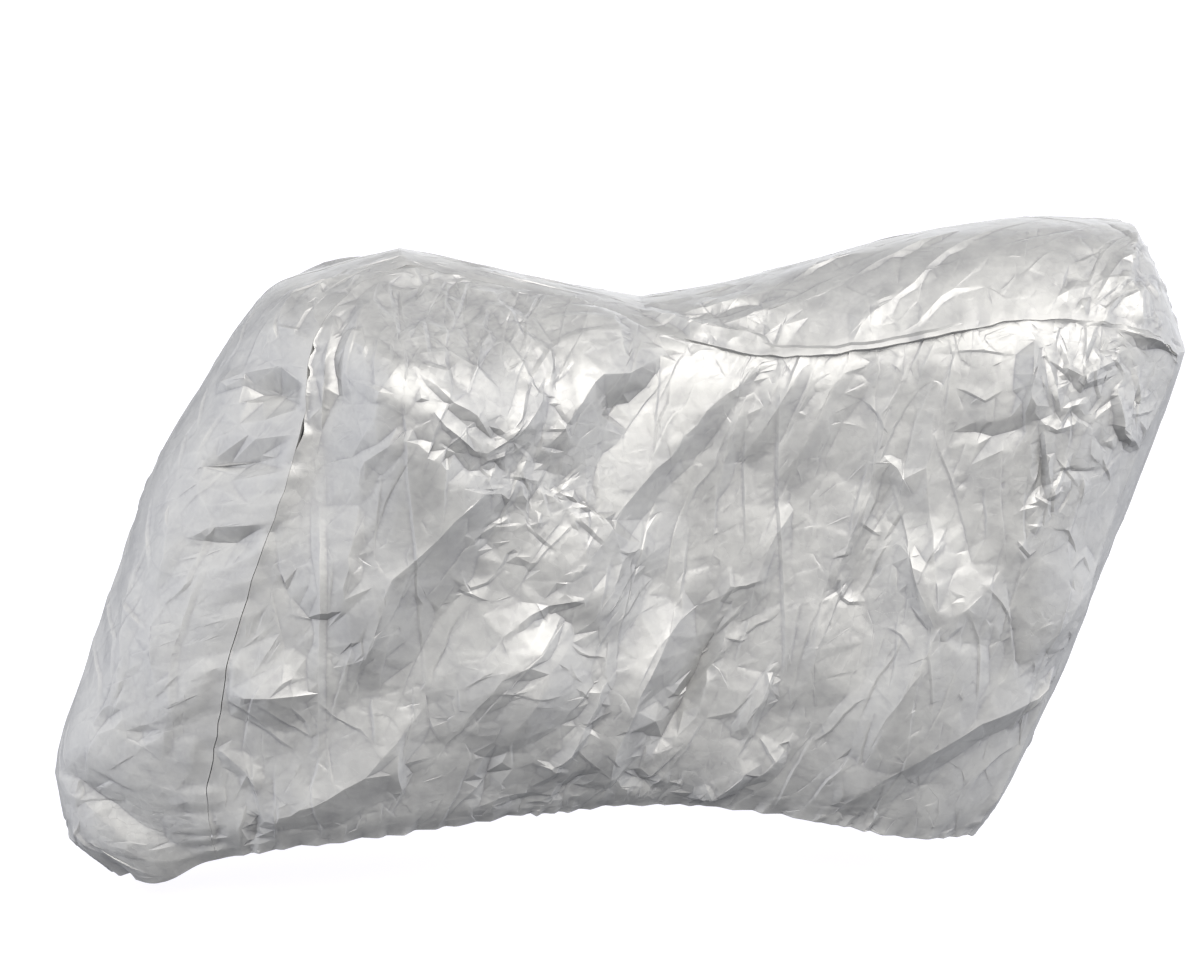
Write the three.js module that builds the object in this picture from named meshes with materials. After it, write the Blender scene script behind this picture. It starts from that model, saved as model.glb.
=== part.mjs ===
// Fitted cover of silver-coated sheet, as it hangs in use.
// Millimetres. +X runs to the tail, +Y to the right-hand side, +Z up.
// Heights in the tables are measured from the ground. The whole cover is then lowered,
// so that the origin lies under its top, at the point where the saddle carries it.

import * as THREE from 'three';

// Sheet and seams
const SHEET = 2;
const SEAM_GAP = 0.3;

// Height of the saddle point under the cover's top
const SADDLE_HEIGHT = 1178;

// Cells of the sheets: along and up a side panel, and across the centre strip
const COLUMNS = 44;
const ROWS = 30;
const STRIP_CELLS = 6;

// Shape rules
const CROWN_POWER = 2.4; // how flat the strip is on top before it turns down to its seams
const SEAM_FADE = 8; // how close to a seam the folds still keep their height
const STATION_PITCH = 140; // mean distance between stations, along the strip
const STRIP_HALF_WIDTH = 230; // mean distance from the strip's ridge to its seam
const PROBE = 0.01; // step in panel shares from which slopes are taken

// Names the columns of a short table
const table = (columns, rows) =>
  rows.map((row) => Object.fromEntries(columns.map((name, i) => [name, row[i]])));

// Stations along the cover, from the front hem over the top to the rear hem:
// the ridge on the middle plane, and the seam beside it (half-width, height)
const STATIONS = table(['ridgeX', 'ridgeZ', 'seamX', 'seamY', 'seamZ'], [
  [-1002, 48, -795, 150, 110], // front hem
  [-1082, 122, -805, 190, 175],
  [-1110, 250, -810, 210, 270], // front pouch
  [-1095, 325, -785, 240, 405],
  [-1040, 475, -765, 260, 530],
  [-980, 635, -710, 280, 715],
  [-915, 830, -655, 290, 870],
  [-825, 990, -615, 280, 1005],
  [-690, 1185, -595, 240, 1140], // nose corner
  [-560, 1240, -525, 150, 1225],
  [-425, 1278, -415, 75, 1262], // front top
  [-270, 1244, -275, 70, 1228],
  [-115, 1206, -105, 100, 1184],
  [40, 1174, 65, 160, 1138], // dip before the saddle
  [195, 1199, 230, 210, 1110],
  [350, 1235, 365, 230, 1110],
  [505, 1278, 510, 250, 1130],
  [660, 1307, 645, 260, 1160],
  [815, 1322, 775, 260, 1175],
  [965, 1316, 905, 250, 1165],
  [1040, 1230, 995, 230, 1140],
  [1098, 1075, 1054, 190, 1092], // tail corner
  [1074, 1000, 1046, 190, 1045],
  [1020, 860, 985, 200, 905],
  [945, 650, 912, 200, 690],
  [900, 512, 868, 190, 548],
  [836, 358, 806, 180, 387],
  [764, 196, 734, 160, 212],
  [704, 110, 676, 140, 122], // rear hem
]);
const FRONT_TOP = 10;
const TAIL = 21;
const LAST = STATIONS.length - 1;

// Drawn-in hem of a side panel, between the front and the rear seam
const HEM = table(['x', 'y', 'z'], [
  [-650, 215, 148],
  [-490, 242, 168],
  [-330, 256, 185],
  [-170, 260, 197],
  [-10, 254, 202],
  [140, 240, 199],
  [290, 221, 186],
  [430, 195, 162],
  [560, 166, 134],
]);

// Broad forms that push a side panel out or in: the place, how far out, and the reach each way
const BULGE_COLUMNS = ['x', 'z', 'out', 'front', 'back', 'up', 'down'];
const BULGES = table(BULGE_COLUMNS, [
  [-420, 1115, 170, 190, 300, 150, 400], // upper front
  [-640, 640, 15, 260, 320, 400, 420], // lower front
  [20, 1000, -60, 320, 330, 180, 1100], // hollow at the dip
  [250, 1000, -90, 560, 560, 180, 900], // hollow below the top seam
  [780, 1000, 22, 330, 330, 200, 420], // tail
]);

// Folds of the side panels: three points on the crest from top to bottom, its height,
// and its reach on the upper side (lead) and on the lower side (lee)
const FOLD_COLUMNS = ['x0', 'z0', 'x1', 'z1', 'x2', 'z2', 'rise', 'lead', 'lee'];
const LEFT_FOLDS = table(FOLD_COLUMNS, [
  [60, 1130, -90, 1060, -215, 910, 26, 120, 80], // long diagonal, upper part
  [-150, 990, -350, 790, -575, 520, 44, 190, 105], // long diagonal, lower part
  [230, 1090, 105, 935, -215, 620, 34, 110, 70], // second diagonal
  [15, 765, -110, 580, -385, 370, 36, 110, 75], // third diagonal
  [130, 610, 15, 425, -55, 260, 52, 130, 70], // deep fold above the hem
  [700, 685, 565, 550, 435, 315, 38, 180, 150], // rear facet
  [865, 720, 780, 525, 380, 235, 46, 110, 65], // rear trough's crest
  [245, 390, 190, 320, 130, 260, 24, 90, 60], // short hem fold
  [-440, 1235, -530, 1125, -555, 1050, 24, 80, 65], // front top
  [-420, 1110, -405, 800, -390, 480, 20, 130, 110], // hanging from the upper front
  [-590, 1080, -588, 800, -580, 330, -22, 70, 70], // furrow behind the front seam
  [400, 1090, 300, 900, 210, 760, 16, 110, 90], // under the saddle
  [590, 1120, 520, 900, 400, 700, 18, 110, 90], // under the tail
  [-700, 170, -560, 270, -300, 420, 20, 90, 80], // bright low ridge
]);
const RIGHT_FOLDS = table(FOLD_COLUMNS, [
  [-40, 1150, -170, 980, -360, 760, 36, 150, 95],
  [-330, 720, -440, 560, -600, 400, 30, 130, 90],
  [180, 1090, 90, 860, -120, 640, 38, 130, 80],
  [330, 1080, 250, 760, 110, 430, 32, 140, 90],
  [60, 560, -40, 400, -130, 250, 44, 120, 70],
  [640, 1110, 560, 820, 430, 560, 26, 140, 110],
  [800, 700, 660, 480, 420, 250, 44, 140, 80],
  [-420, 1110, -430, 820, -460, 500, 22, 130, 110],
  [-600, 1060, -605, 780, -590, 340, -18, 70, 70],
  [-680, 190, -520, 300, -280, 400, 18, 90, 80],
]);

// Folds across the strip: two points on the crest as station and share of the half-width
// (-1 at the left seam, 1 at the right seam), the height and the reach
const STRIP_FOLDS = table(['station0', 'share0', 'station1', 'share1', 'rise', 'reach'], [
  [2.1, -0.2, 0.9, -0.9, -16, 90], // pouch furrow, left
  [2.2, 0.3, 1.1, 0.9, -14, 90], // pouch furrow, right
  [5.3, -0.9, 5.5, -0.4, -12, 80], // nose arcs
  [6.4, -0.8, 6.6, -0.4, -13, 80],
  [7.4, 0.9, 7.2, 0.4, -11, 70],
  [13.4, -0.8, 16.4, -0.45, 16, 95], // diagonals over the saddle
  [14.6, -0.6, 17.6, 0.1, -12, 85],
  [14.4, 0.8, 16.4, 0.4, 14, 95],
  [19.6, -0.7, 17.8, 0.1, -12, 90], // tail crumples
  [20.3, 0.6, 18.4, 0.1, -12, 90],
  [24.6, -0.6, 23.4, 0.7, -10, 110], // down the back
  [26.2, 0.6, 25.1, -0.6, -12, 110],
]);

const curveThrough = (points) => new THREE.CatmullRomCurve3(points, false, 'catmullrom', 0.5);
const ridgePoints = STATIONS.map((row) => new THREE.Vector3(row.ridgeX, 0, row.ridgeZ));
const seamPoints = STATIONS.map((row) => new THREE.Vector3(row.seamX, -row.seamY, row.seamZ));
const hemPoints = HEM.map((row) => new THREE.Vector3(row.x, -row.y, row.z));
const ridgeLine = curveThrough(ridgePoints);
const seamLine = curveThrough(seamPoints);
const hemLine = curveThrough([seamPoints[0], ...hemPoints, seamPoints[LAST]]);
const seamAt = (station) => seamLine.getPoint(station / LAST);

// Half a wave: 1 at its crest, 0 at its reach and beyond
const swell = (distance, reach) =>
  distance < reach ? Math.cos((distance / reach) * (Math.PI / 2)) ** 2 : 0;

// Nearest place on a straight stretch: distance, side (1 to the left of its run) and share
function nearestOn(x, z, x0, z0, x1, z1) {
  const runX = x1 - x0;
  const runZ = z1 - z0;
  const along = ((x - x0) * runX + (z - z0) * runZ) / (runX ** 2 + runZ ** 2);
  const share = THREE.MathUtils.clamp(along, 0, 1);
  const distance = Math.hypot(x - x0 - share * runX, z - z0 - share * runZ);
  const side = Math.sign(runX * (z - z0) - runZ * (x - x0));
  return { distance, side, share };
}

function bulgeOut(x, z, bulge) {
  const lengthwise = swell(Math.abs(x - bulge.x), x < bulge.x ? bulge.front : bulge.back);
  const upright = swell(Math.abs(z - bulge.z), z < bulge.z ? bulge.down : bulge.up);
  return bulge.out * lengthwise * upright;
}

// A fold dies out towards both ends of its crest
function foldOut(x, z, fold) {
  const upper = nearestOn(x, z, fold.x0, fold.z0, fold.x1, fold.z1);
  const lower = nearestOn(x, z, fold.x1, fold.z1, fold.x2, fold.z2);
  const nearest = upper.distance < lower.distance ? upper : lower;
  const share = nearest === upper ? upper.share / 2 : (1 + lower.share) / 2;
  const taper = Math.sin(Math.PI * THREE.MathUtils.clamp(share, 0.05, 0.95));
  return fold.rise * Math.sqrt(taper) * swell(nearest.distance, nearest.side > 0 ? fold.lee : fold.lead);
}

// A side panel in left-hand coordinates: a patch blended from its four edges, pushed out by
// the broad forms and the folds. u runs from the front seam to the rear, v from the hem up.
function panelPoint(u, v, folds) {
  const front = seamAt(v * FRONT_TOP);
  const rear = seamAt(LAST - v * (LAST - TAIL));
  const top = seamAt(FRONT_TOP + u * (TAIL - FRONT_TOP));
  const hem = hemLine.getPoint(u);
  const point = new THREE.Vector3()
    .addScaledVector(front, 1 - u)
    .addScaledVector(rear, u)
    .addScaledVector(hem, 1 - v)
    .addScaledVector(top, v)
    .addScaledVector(seamPoints[0], -(1 - u) * (1 - v))
    .addScaledVector(seamPoints[LAST], -u * (1 - v))
    .addScaledVector(seamPoints[FRONT_TOP], -(1 - u) * v)
    .addScaledVector(seamPoints[TAIL], -u * v);
  const fade = (1 - Math.abs(2 * u - 1) ** SEAM_FADE) * (1 - v ** SEAM_FADE);
  const bulges = BULGES.reduce((sum, bulge) => sum + bulgeOut(point.x, point.z, bulge), 0);
  const creases = folds.reduce((sum, fold) => sum + foldOut(point.x, point.z, fold), 0);
  point.y -= fade * (bulges + creases);
  return point;
}

// The strip's plain crown at a station, share -1 at the left seam and 1 at the right
function crownPoint(station, share) {
  const ridge = ridgeLine.getPoint(station / LAST);
  const seam = seamAt(station);
  const drop = Math.abs(share) ** CROWN_POWER;
  return new THREE.Vector3(
    THREE.MathUtils.lerp(ridge.x, seam.x, drop),
    -seam.y * share,
    THREE.MathUtils.lerp(ridge.z, seam.z, drop),
  );
}

// Outward normal of a surface from two slopes
function slopeNormal(surface, a, b, stepA, stepB) {
  const alongA = surface(a + stepA, b).sub(surface(a - stepA, b));
  const alongB = surface(a, b + stepB).sub(surface(a, b - stepB));
  return alongA.cross(alongB).normalize();
}

function stripPoint(station, share) {
  const crease = (fold) => {
    const { distance } = nearestOn(
      station * STATION_PITCH,
      share * STRIP_HALF_WIDTH,
      fold.station0 * STATION_PITCH,
      fold.share0 * STRIP_HALF_WIDTH,
      fold.station1 * STATION_PITCH,
      fold.share1 * STRIP_HALF_WIDTH,
    );
    return fold.rise * swell(distance, fold.reach);
  };
  const fade = 1 - Math.abs(share) ** SEAM_FADE;
  const rise = fade * STRIP_FOLDS.reduce((sum, fold) => sum + crease(fold), 0);
  const inside = THREE.MathUtils.clamp(station, PROBE, LAST - PROBE);
  const normal = slopeNormal(crownPoint, inside, share, PROBE, PROBE);
  return crownPoint(station, share).addScaledVector(normal, rise);
}

// Panel shares of a seam station
function panelShares(station) {
  if (station < FRONT_TOP) {
    return [0, station / FRONT_TOP];
  }
  if (station <= TAIL) {
    return [(station - FRONT_TOP) / (TAIL - FRONT_TOP), 1];
  }
  return [1, (LAST - station) / (LAST - TAIL)];
}

// On a seam both sheets turn about one shared normal and stand half a gap to either side
function seamFrame(station, folds) {
  const point = seamAt(station);
  const tangent = seamLine.getTangent(station / LAST);
  const [u, v] = panelShares(station);
  const inU = THREE.MathUtils.clamp(u, PROBE, 1 - PROBE);
  const inV = Math.min(v, 1 - PROBE);
  const toPanel = panelPoint(inU, inV, folds).sub(point).normalize();
  const toStrip = stripPoint(station, PROBE - 1).sub(point).normalize();
  const panelNormal = toPanel.cross(tangent).normalize();
  const stripNormal = tangent.clone().cross(toStrip).normalize();
  const normal = panelNormal.add(stripNormal).normalize();
  const intoPanel = normal.clone().cross(tangent).negate().normalize();
  return { point, normal, intoPanel };
}

// Mirrors a place to the right-hand side
const mirrored = ({ point, normal }) => {
  point.y = -point.y;
  normal.y = -normal.y;
  return { point, normal };
};

function panelPlace(column, row, folds) {
  const u = column / COLUMNS;
  const v = row / ROWS;
  const onSeam = column === 0 || column === COLUMNS || row === ROWS;
  if (!onSeam) {
    const surface = (a, b) => panelPoint(a, b, folds);
    const normal = slopeNormal(surface, u, Math.max(v, PROBE), PROBE, PROBE);
    return { point: surface(u, v), normal };
  }
  const stationOnSide = column === 0 ? v * FRONT_TOP : LAST - v * (LAST - TAIL);
  const station = row === ROWS ? FRONT_TOP + u * (TAIL - FRONT_TOP) : stationOnSide;
  const { point, normal, intoPanel } = seamFrame(station, folds);
  return { point: point.addScaledVector(intoPanel, SEAM_GAP / 2), normal };
}

// The strip's cells meet the panels' cells along the seams
function stripStation(cell) {
  if (cell <= ROWS) {
    return (cell / ROWS) * FRONT_TOP;
  }
  if (cell <= ROWS + COLUMNS) {
    return FRONT_TOP + ((cell - ROWS) / COLUMNS) * (TAIL - FRONT_TOP);
  }
  return TAIL + ((cell - ROWS - COLUMNS) / ROWS) * (LAST - TAIL);
}

function stripPlace(cell, across) {
  const station = stripStation(cell);
  const share = (2 * across) / STRIP_CELLS - 1;
  if (Math.abs(share) === 1) {
    const folds = share < 0 ? LEFT_FOLDS : RIGHT_FOLDS;
    const { point, normal, intoPanel } = seamFrame(station, folds);
    const place = { point: point.addScaledVector(intoPanel, -SEAM_GAP / 2), normal };
    return share < 0 ? place : mirrored(place);
  }
  const inside = THREE.MathUtils.clamp(station, PROBE, LAST - PROBE);
  const normal = slopeNormal(stripPoint, inside, share, PROBE, PROBE);
  return { point: stripPoint(station, share), normal };
}

// Gives a slab's back the same cell diagonals as its front, so that bent cells stay parallel
function alignDiagonals(geometry) {
  const corners = geometry.index.array;
  const back = geometry.groups[5];
  for (let k = back.start; k < back.start + back.count; k += 6) {
    const [a, b, d, , c] = corners.slice(k, k + 6);
    corners.set([a, b, c, a, c, d], k);
  }
}

// A closed sheet: a flat slab of cells whose outer face takes the given places
function sheet(name, cellsAlong, cellsAcross, place) {
  const geometry = new THREE.BoxGeometry(1, 1, 1, cellsAlong, cellsAcross, 1);
  alignDiagonals(geometry);
  const corners = geometry.attributes.position;
  for (let i = 0; i < corners.count; i += 1) {
    const along = Math.round((corners.getX(i) + 0.5) * cellsAlong);
    const across = Math.round((corners.getY(i) + 0.5) * cellsAcross);
    const { point, normal } = place(along, across);
    const depth = corners.getZ(i) > 0 ? 0 : SHEET;
    point.addScaledVector(normal, -depth);
    corners.setXYZ(i, point.x, point.y, point.z);
  }
  geometry.computeVertexNormals();
  const material = new THREE.MeshStandardMaterial({ color: 0xc3c3c4, roughness: 0.36, metalness: 0.65 });
  const mesh = new THREE.Mesh(geometry, material);
  mesh.name = name;
  return mesh;
}

const sidePanelLeft = sheet('side_panel_left', COLUMNS, ROWS, (column, row) =>
  panelPlace(column, row, LEFT_FOLDS));
const sidePanelRight = sheet('side_panel_right', COLUMNS, ROWS, (column, row) =>
  mirrored(panelPlace(COLUMNS - column, row, RIGHT_FOLDS)));
const centreStrip = sheet('centre_strip', 2 * ROWS + COLUMNS, STRIP_CELLS, stripPlace);

const cover = new THREE.Group();
cover.add(sidePanelLeft, sidePanelRight, centreStrip);
cover.position.z = -SADDLE_HEIGHT;

export default cover;
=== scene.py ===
"""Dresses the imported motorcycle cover: two side panels and a centre strip of crumpled,
silver-coated sheet, seamed together and drawn in at the hem, on a plain pale stage.

Tables are in millimetres, with heights measured from the ground. The meshes are in metres,
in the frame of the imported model."""

import math
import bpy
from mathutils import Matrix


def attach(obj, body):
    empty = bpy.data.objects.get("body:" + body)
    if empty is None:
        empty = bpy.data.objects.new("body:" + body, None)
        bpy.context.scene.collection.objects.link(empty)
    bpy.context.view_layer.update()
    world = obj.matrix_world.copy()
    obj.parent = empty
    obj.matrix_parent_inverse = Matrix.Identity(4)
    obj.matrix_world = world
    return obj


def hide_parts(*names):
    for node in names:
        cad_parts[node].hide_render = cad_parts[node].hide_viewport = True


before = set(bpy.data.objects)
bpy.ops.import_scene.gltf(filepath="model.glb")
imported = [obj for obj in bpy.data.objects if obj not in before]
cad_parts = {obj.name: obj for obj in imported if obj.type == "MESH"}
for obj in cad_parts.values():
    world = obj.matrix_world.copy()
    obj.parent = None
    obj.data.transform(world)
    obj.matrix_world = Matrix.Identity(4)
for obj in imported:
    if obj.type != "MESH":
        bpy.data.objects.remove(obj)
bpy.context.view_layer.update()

from types import SimpleNamespace

import bpy
import numpy as np
from bpy.props import FloatProperty, FloatVectorProperty, PointerProperty, StringProperty
from mathutils import Vector
from mathutils.geometry import delaunay_2d_cdt
from mathutils.kdtree import KDTree

bl_info = {
    "name": "Silver vehicle cover",
    "version": (1, 0, 0),
    "blender": (4, 5, 0),
    "location": "3D View > Sidebar > Cover",
    "description": "Builds the crumpled panels of a silver cover around its packed model, and a stage",
    "category": "Object",
}

MM = 0.001


def table(columns, rows):
    """Names the columns of a short table."""
    names = columns.split()
    return [SimpleNamespace(**dict(zip(names, row))) for row in rows]


# Outline of the cover

# Stations along the centre strip, from the front hem over the top to the rear hem:
# the ridge on the middle plane, and the left seam (its distance from that plane as y)
STATIONS = table("ridge_x ridge_z seam_x seam_y seam_z", [
    (-1002, 48, -795, 150, 110),  # front hem
    (-1082, 122, -805, 190, 175),
    (-1110, 250, -810, 210, 270),  # front pouch
    (-1095, 325, -785, 240, 405),
    (-1040, 475, -765, 260, 530),
    (-980, 635, -710, 280, 715),
    (-915, 830, -655, 290, 870),
    (-825, 990, -615, 280, 1005),
    (-690, 1185, -595, 240, 1140),  # nose corner
    (-560, 1240, -525, 150, 1225),
    (-425, 1278, -415, 75, 1262),  # front top
    (-270, 1244, -275, 70, 1228),
    (-115, 1206, -105, 100, 1184),
    (40, 1174, 65, 160, 1138),  # dip
    (195, 1199, 230, 210, 1110),
    (350, 1235, 365, 230, 1110),
    (505, 1278, 510, 250, 1130),
    (660, 1307, 645, 260, 1160),
    (815, 1322, 775, 260, 1175),
    (1000, 1309, 905, 250, 1165),
    (1040, 1230, 995, 230, 1140),
    (1098, 1075, 1054, 190, 1092),  # tail corner
    (1074, 1000, 1046, 190, 1045),
    (1020, 860, 985, 200, 905),
    (945, 650, 912, 200, 690),
    (900, 512, 868, 190, 548),
    (836, 358, 806, 180, 387),
    (764, 196, 734, 160, 212),
    (704, 110, 676, 140, 122),  # rear hem
])
FRONT_TOP = 10
TAIL = 21
LAST = len(STATIONS) - 1
CORNERS = (2, 10, 13, 19, 21)  # stations where the sheet turns a corner

# The hem of a side panel between its two seams
HEM = table("x y z", [
    (-650, 215, 148),
    (-490, 238, 168),
    (-330, 228, 185),
    (-170, 206, 197),
    (-10, 194, 202),
    (140, 188, 199),
    (290, 192, 186),
    (430, 204, 162),
    (560, 186, 134),
])

# Broad forms that push the side panels out or in
BULGES = table("x z out front back up down", [
    (-420, 1115, 170, 190, 300, 150, 400),  # upper front
    (-640, 640, 15, 260, 320, 400, 420),  # lower front
    (20, 1000, -65, 320, 330, 240, 1100),  # hollow at the dip
    (340, 1010, -105, 560, 560, 340, 900),  # hollow below the top seam
    (780, 1000, 22, 330, 330, 200, 420),  # tail
    (720, 640, 25, 300, 260, 320, 380),  # lower rear
    (-60, 180, -34, 800, 750, 180, 120),  # drawn in at the hem
])

CROWN_POWER = 2.4  # how flat the strip is on top before it turns down to its seams
FRONT_SAG = 26  # how far the front hem sags on either side of the middle
SAG_MIDDLE = 0.72  # where across the strip it sags most, and how far to either side
SAG_REACH = 0.28
SAG_STATIONS = 1.6  # stations over which the sag runs out
CORNER_POWER = 12  # how fast a panel loses its seams' corners away from them
EDGE_POWER = 8  # how close to a panel's edges its broad forms still reach

# Folds of the sheet

# A fold: its rise, how far it runs out on the long side (lead), and its crest as places with the
# reach of the steep side there (lee, to the left of the crest's run)
FOLD = "rise lead crest"
LEFT_FOLDS = table(FOLD, [
    # first diagonal, below the dip
    (44, 260, (
        (65, 1095, 10), (0, 1065, 40), (-80, 1060, 70), (-115, 1020, 105), (-170, 955, 105),
        (-195, 920, 80))),
    # wedge in front of the first diagonal
    (16, 140, ((-185, 1050, 10), (-210, 1015, 40), (-255, 960, 55), (-265, 925, 50))),
    # long lower part of the first diagonal
    (44, 230, (
        (-265, 925, 30), (-280, 885, 65), (-345, 840, 105), (-400, 775, 125), (-465, 690, 115),
        (-490, 585, 90), (-505, 555, 80), (-570, 530, 80))),
    # second diagonal
    (19, 320, (
        (285, 1105, 10), (250, 1085, 22), (200, 1040, 22), (135, 990, 50), (80, 925, 38), (30, 880, 56),
        (-25, 820, 46), (-65, 770, 58), (-95, 730, 36), (-150, 680, 20))),
    (8, 30, ((-95, 660, 10), (-160, 655, 20), (-230, 610, 10))),  # sliver at the second diagonal's foot
    # third diagonal
    (24, 260, (
        (20, 795, 60), (5, 745, 75), (-25, 735, 80), (-55, 665, 80), (-80, 620, 80), (-120, 590, 70))),
    # lower part of the third diagonal
    (24, 240, (
        (-120, 590, 60), (-160, 535, 90), (-175, 495, 95), (-205, 440, 80), (-230, 395, 60),
        (-235, 350, 25))),
    # sliver in front of the third diagonal
    (12, 120, (
        (-130, 620, 10), (-160, 590, 15), (-190, 550, 25), (-245, 525, 35), (-260, 500, 40),
        (-295, 465, 40), (-320, 420, 35), (-350, 400, 25))),
    # curved fold near the hem
    (10, 18, (
        (-200, 260, 20), (-165, 295, 20), (-125, 345, 25), (-105, 385, 25), (-80, 445, 20), (-60, 505, 15),
        (-55, 570, 10))),
    # deep fold in the middle
    (36, 320, (
        (135, 620, 40), (105, 615, 50), (85, 585, 55), (55, 545, 60), (40, 505, 60), (10, 465, 60),
        (-5, 415, 60), (-25, 365, 58), (-35, 310, 48), (-45, 245, 25))),
    # its rear edge
    (-22, 26, (
        (185, 600, 15), (150, 530, 25), (130, 485, 25), (100, 415, 25), (70, 355, 20), (45, 325, 10))),
    (16, 30, ((10, 430, 25), (40, 415, 30), (65, 375, 25))),  # lobe in it
    (14, 120, ((275, 490, 10), (260, 440, 25), (225, 385, 35), (195, 365, 20))),  # short fold behind it
    # folds down to the middle of the hem
    (18, 140, ((245, 320, 20), (215, 270, 25), (180, 240, 25), (115, 225, 20))),
    (10, 110, ((305, 335, 15), (275, 295, 25), (230, 250, 25))),
    # broad facet
    (15, 150, (
        (395, 720, 60), (380, 670, 85), (365, 605, 100), (355, 530, 100), (350, 465, 100), (360, 415, 80))),
    (10, 120, ((590, 585, 10), (570, 635, 25), (555, 690, 35), (520, 765, 15))),  # narrow facet behind it
    # broad rear diagonal
    (38, 320, (
        (705, 695, 40), (645, 625, 100), (595, 585, 125), (565, 515, 135), (515, 430, 145), (490, 375, 135),
        (455, 300, 100))),
    # trough along the rear of the hem
    (28, 200, (
        (845, 480, 15), (785, 430, 30), (720, 405, 45), (660, 385, 55), (585, 340, 60), (520, 300, 65),
        (465, 255, 60), (430, 220, 45), (400, 195, 20))),
    (20, 180, ((910, 690, 60), (850, 615, 80), (795, 545, 85), (740, 495, 60))),  # soft fold above it
    (8, 18, ((825, 485, 10), (795, 430, 10), (765, 390, 10), (740, 355, 10))),  # thin fold across it
    (22, 30, ((765, 1140, 10), (760, 1060, 30), (755, 990, 50))),  # upright fold in front of the tail
    # level furrow that meets it
    (-8, 30, ((615, 962, 10), (680, 955, 30), (735, 968, 30), (757, 990, 10))),
    # jagged folds of the tail
    (10, 30, ((930, 1095, 8), (890, 1085, 16), (855, 1065, 18), (815, 1090, 8))),
    (14, 30, ((1045, 1097, 5), (1015, 1122, 15), (975, 1140, 30), (950, 1135, 15))),
    (12, 80, ((985, 905, 6), (945, 945, 12), (928, 975, 12), (925, 1045, 8))),
    (-10, 20, ((775, 965, 8), (780, 895, 14), (790, 835, 8))),
    # upright band in front of the tail
    (13, 160, ((575, 980, 40), (565, 885, 60), (585, 740, 50), (595, 590, 20))),
    (7, 40, ((485, 915, 8), (510, 890, 20), (545, 840, 8))),  # wedge beside it
    # slanting bands down from the top seam
    (13, 200, ((420, 1115, 25), (385, 1040, 55), (340, 945, 60), (280, 855, 40))),
    (12, 200, ((515, 1120, 30), (500, 1040, 50), (475, 905, 50), (430, 770, 25))),
    # upright bands of the middle
    (13, 150, ((470, 855, 10), (440, 795, 40), (405, 720, 60), (385, 650, 40))),
    (8, 170, ((615, 1110, 10), (590, 1005, 45), (575, 885, 50), (565, 800, 20))),
    (10, 140, ((315, 810, 10), (265, 740, 35), (240, 655, 40), (230, 580, 15))),
    (9, 140, ((240, 1055, 10), (210, 990, 25), (180, 910, 30), (165, 815, 10))),
    # upright fold beside the front seam
    (12, 30, ((-550, 1190, 10), (-565, 1140, 25), (-575, 1060, 25), (-580, 985, 10))),
    (12, 150, ((360, 1110, 25), (315, 1055, 45), (255, 965, 40), (210, 895, 20))),  # another slanting band
    # fold round the upper front
    (15, 160, ((-535, 1050, 10), (-530, 1120, 25), (-500, 1185, 30), (-465, 1235, 12))),
    # folds down from the upper front
    (14, 140, ((-425, 1130, 25), (-455, 1070, 45), (-485, 1005, 35), (-500, 955, 15))),
    (10, 120, ((-425, 1005, 15), (-460, 970, 30), (-495, 935, 25), (-505, 860, 20))),
    (9, 120, ((-490, 840, 20), (-530, 770, 30), (-540, 695, 25), (-545, 645, 10))),
    # thin folds behind the upper front
    (7, 26, ((-275, 985, 5), (-310, 1030, 10), (-345, 1060, 12), (-380, 1095, 10), (-405, 1115, 5))),
    (6, 24, ((-275, 940, 5), (-310, 970, 10), (-350, 1010, 10), (-380, 1045, 5))),
    # ridge down to the front hem
    (22, 110, (
        (-400, 445, 20), (-450, 380, 60), (-510, 315, 80), (-585, 265, 70), (-655, 230, 40),
        (-710, 195, 15))),
    (24, 90, ((-595, 485, 60), (-685, 475, 80), (-770, 465, 45))),  # level fold above the front hem
    (8, 30, ((-705, 270, 10), (-740, 320, 25), (-790, 360, 15))),  # short folds below it
    (9, 30, ((-440, 365, 10), (-450, 315, 25), (-435, 260, 20))),
    # furrows drawn into the hem
    (-12, 26, ((-260, 375, 10), (-270, 315, 25), (-275, 265, 30), (-295, 220, 25))),
    (-12, 24, ((-80, 300, 15), (-110, 270, 25), (-145, 220, 20))),
    (-10, 24, ((-160, 245, 10), (-205, 230, 20), (-250, 220, 15))),
    (-14, 26, ((60, 240, 20), (25, 260, 30), (-10, 290, 20))),
    (-10, 16, ((-795, 145, 10), (-805, 180, 14), (-805, 225, 8))),  # tuck at the front corner
    (-10, 16, ((-725, 150, 10), (-720, 185, 14), (-715, 225, 8))),  # tuck at the front corner
])

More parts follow.
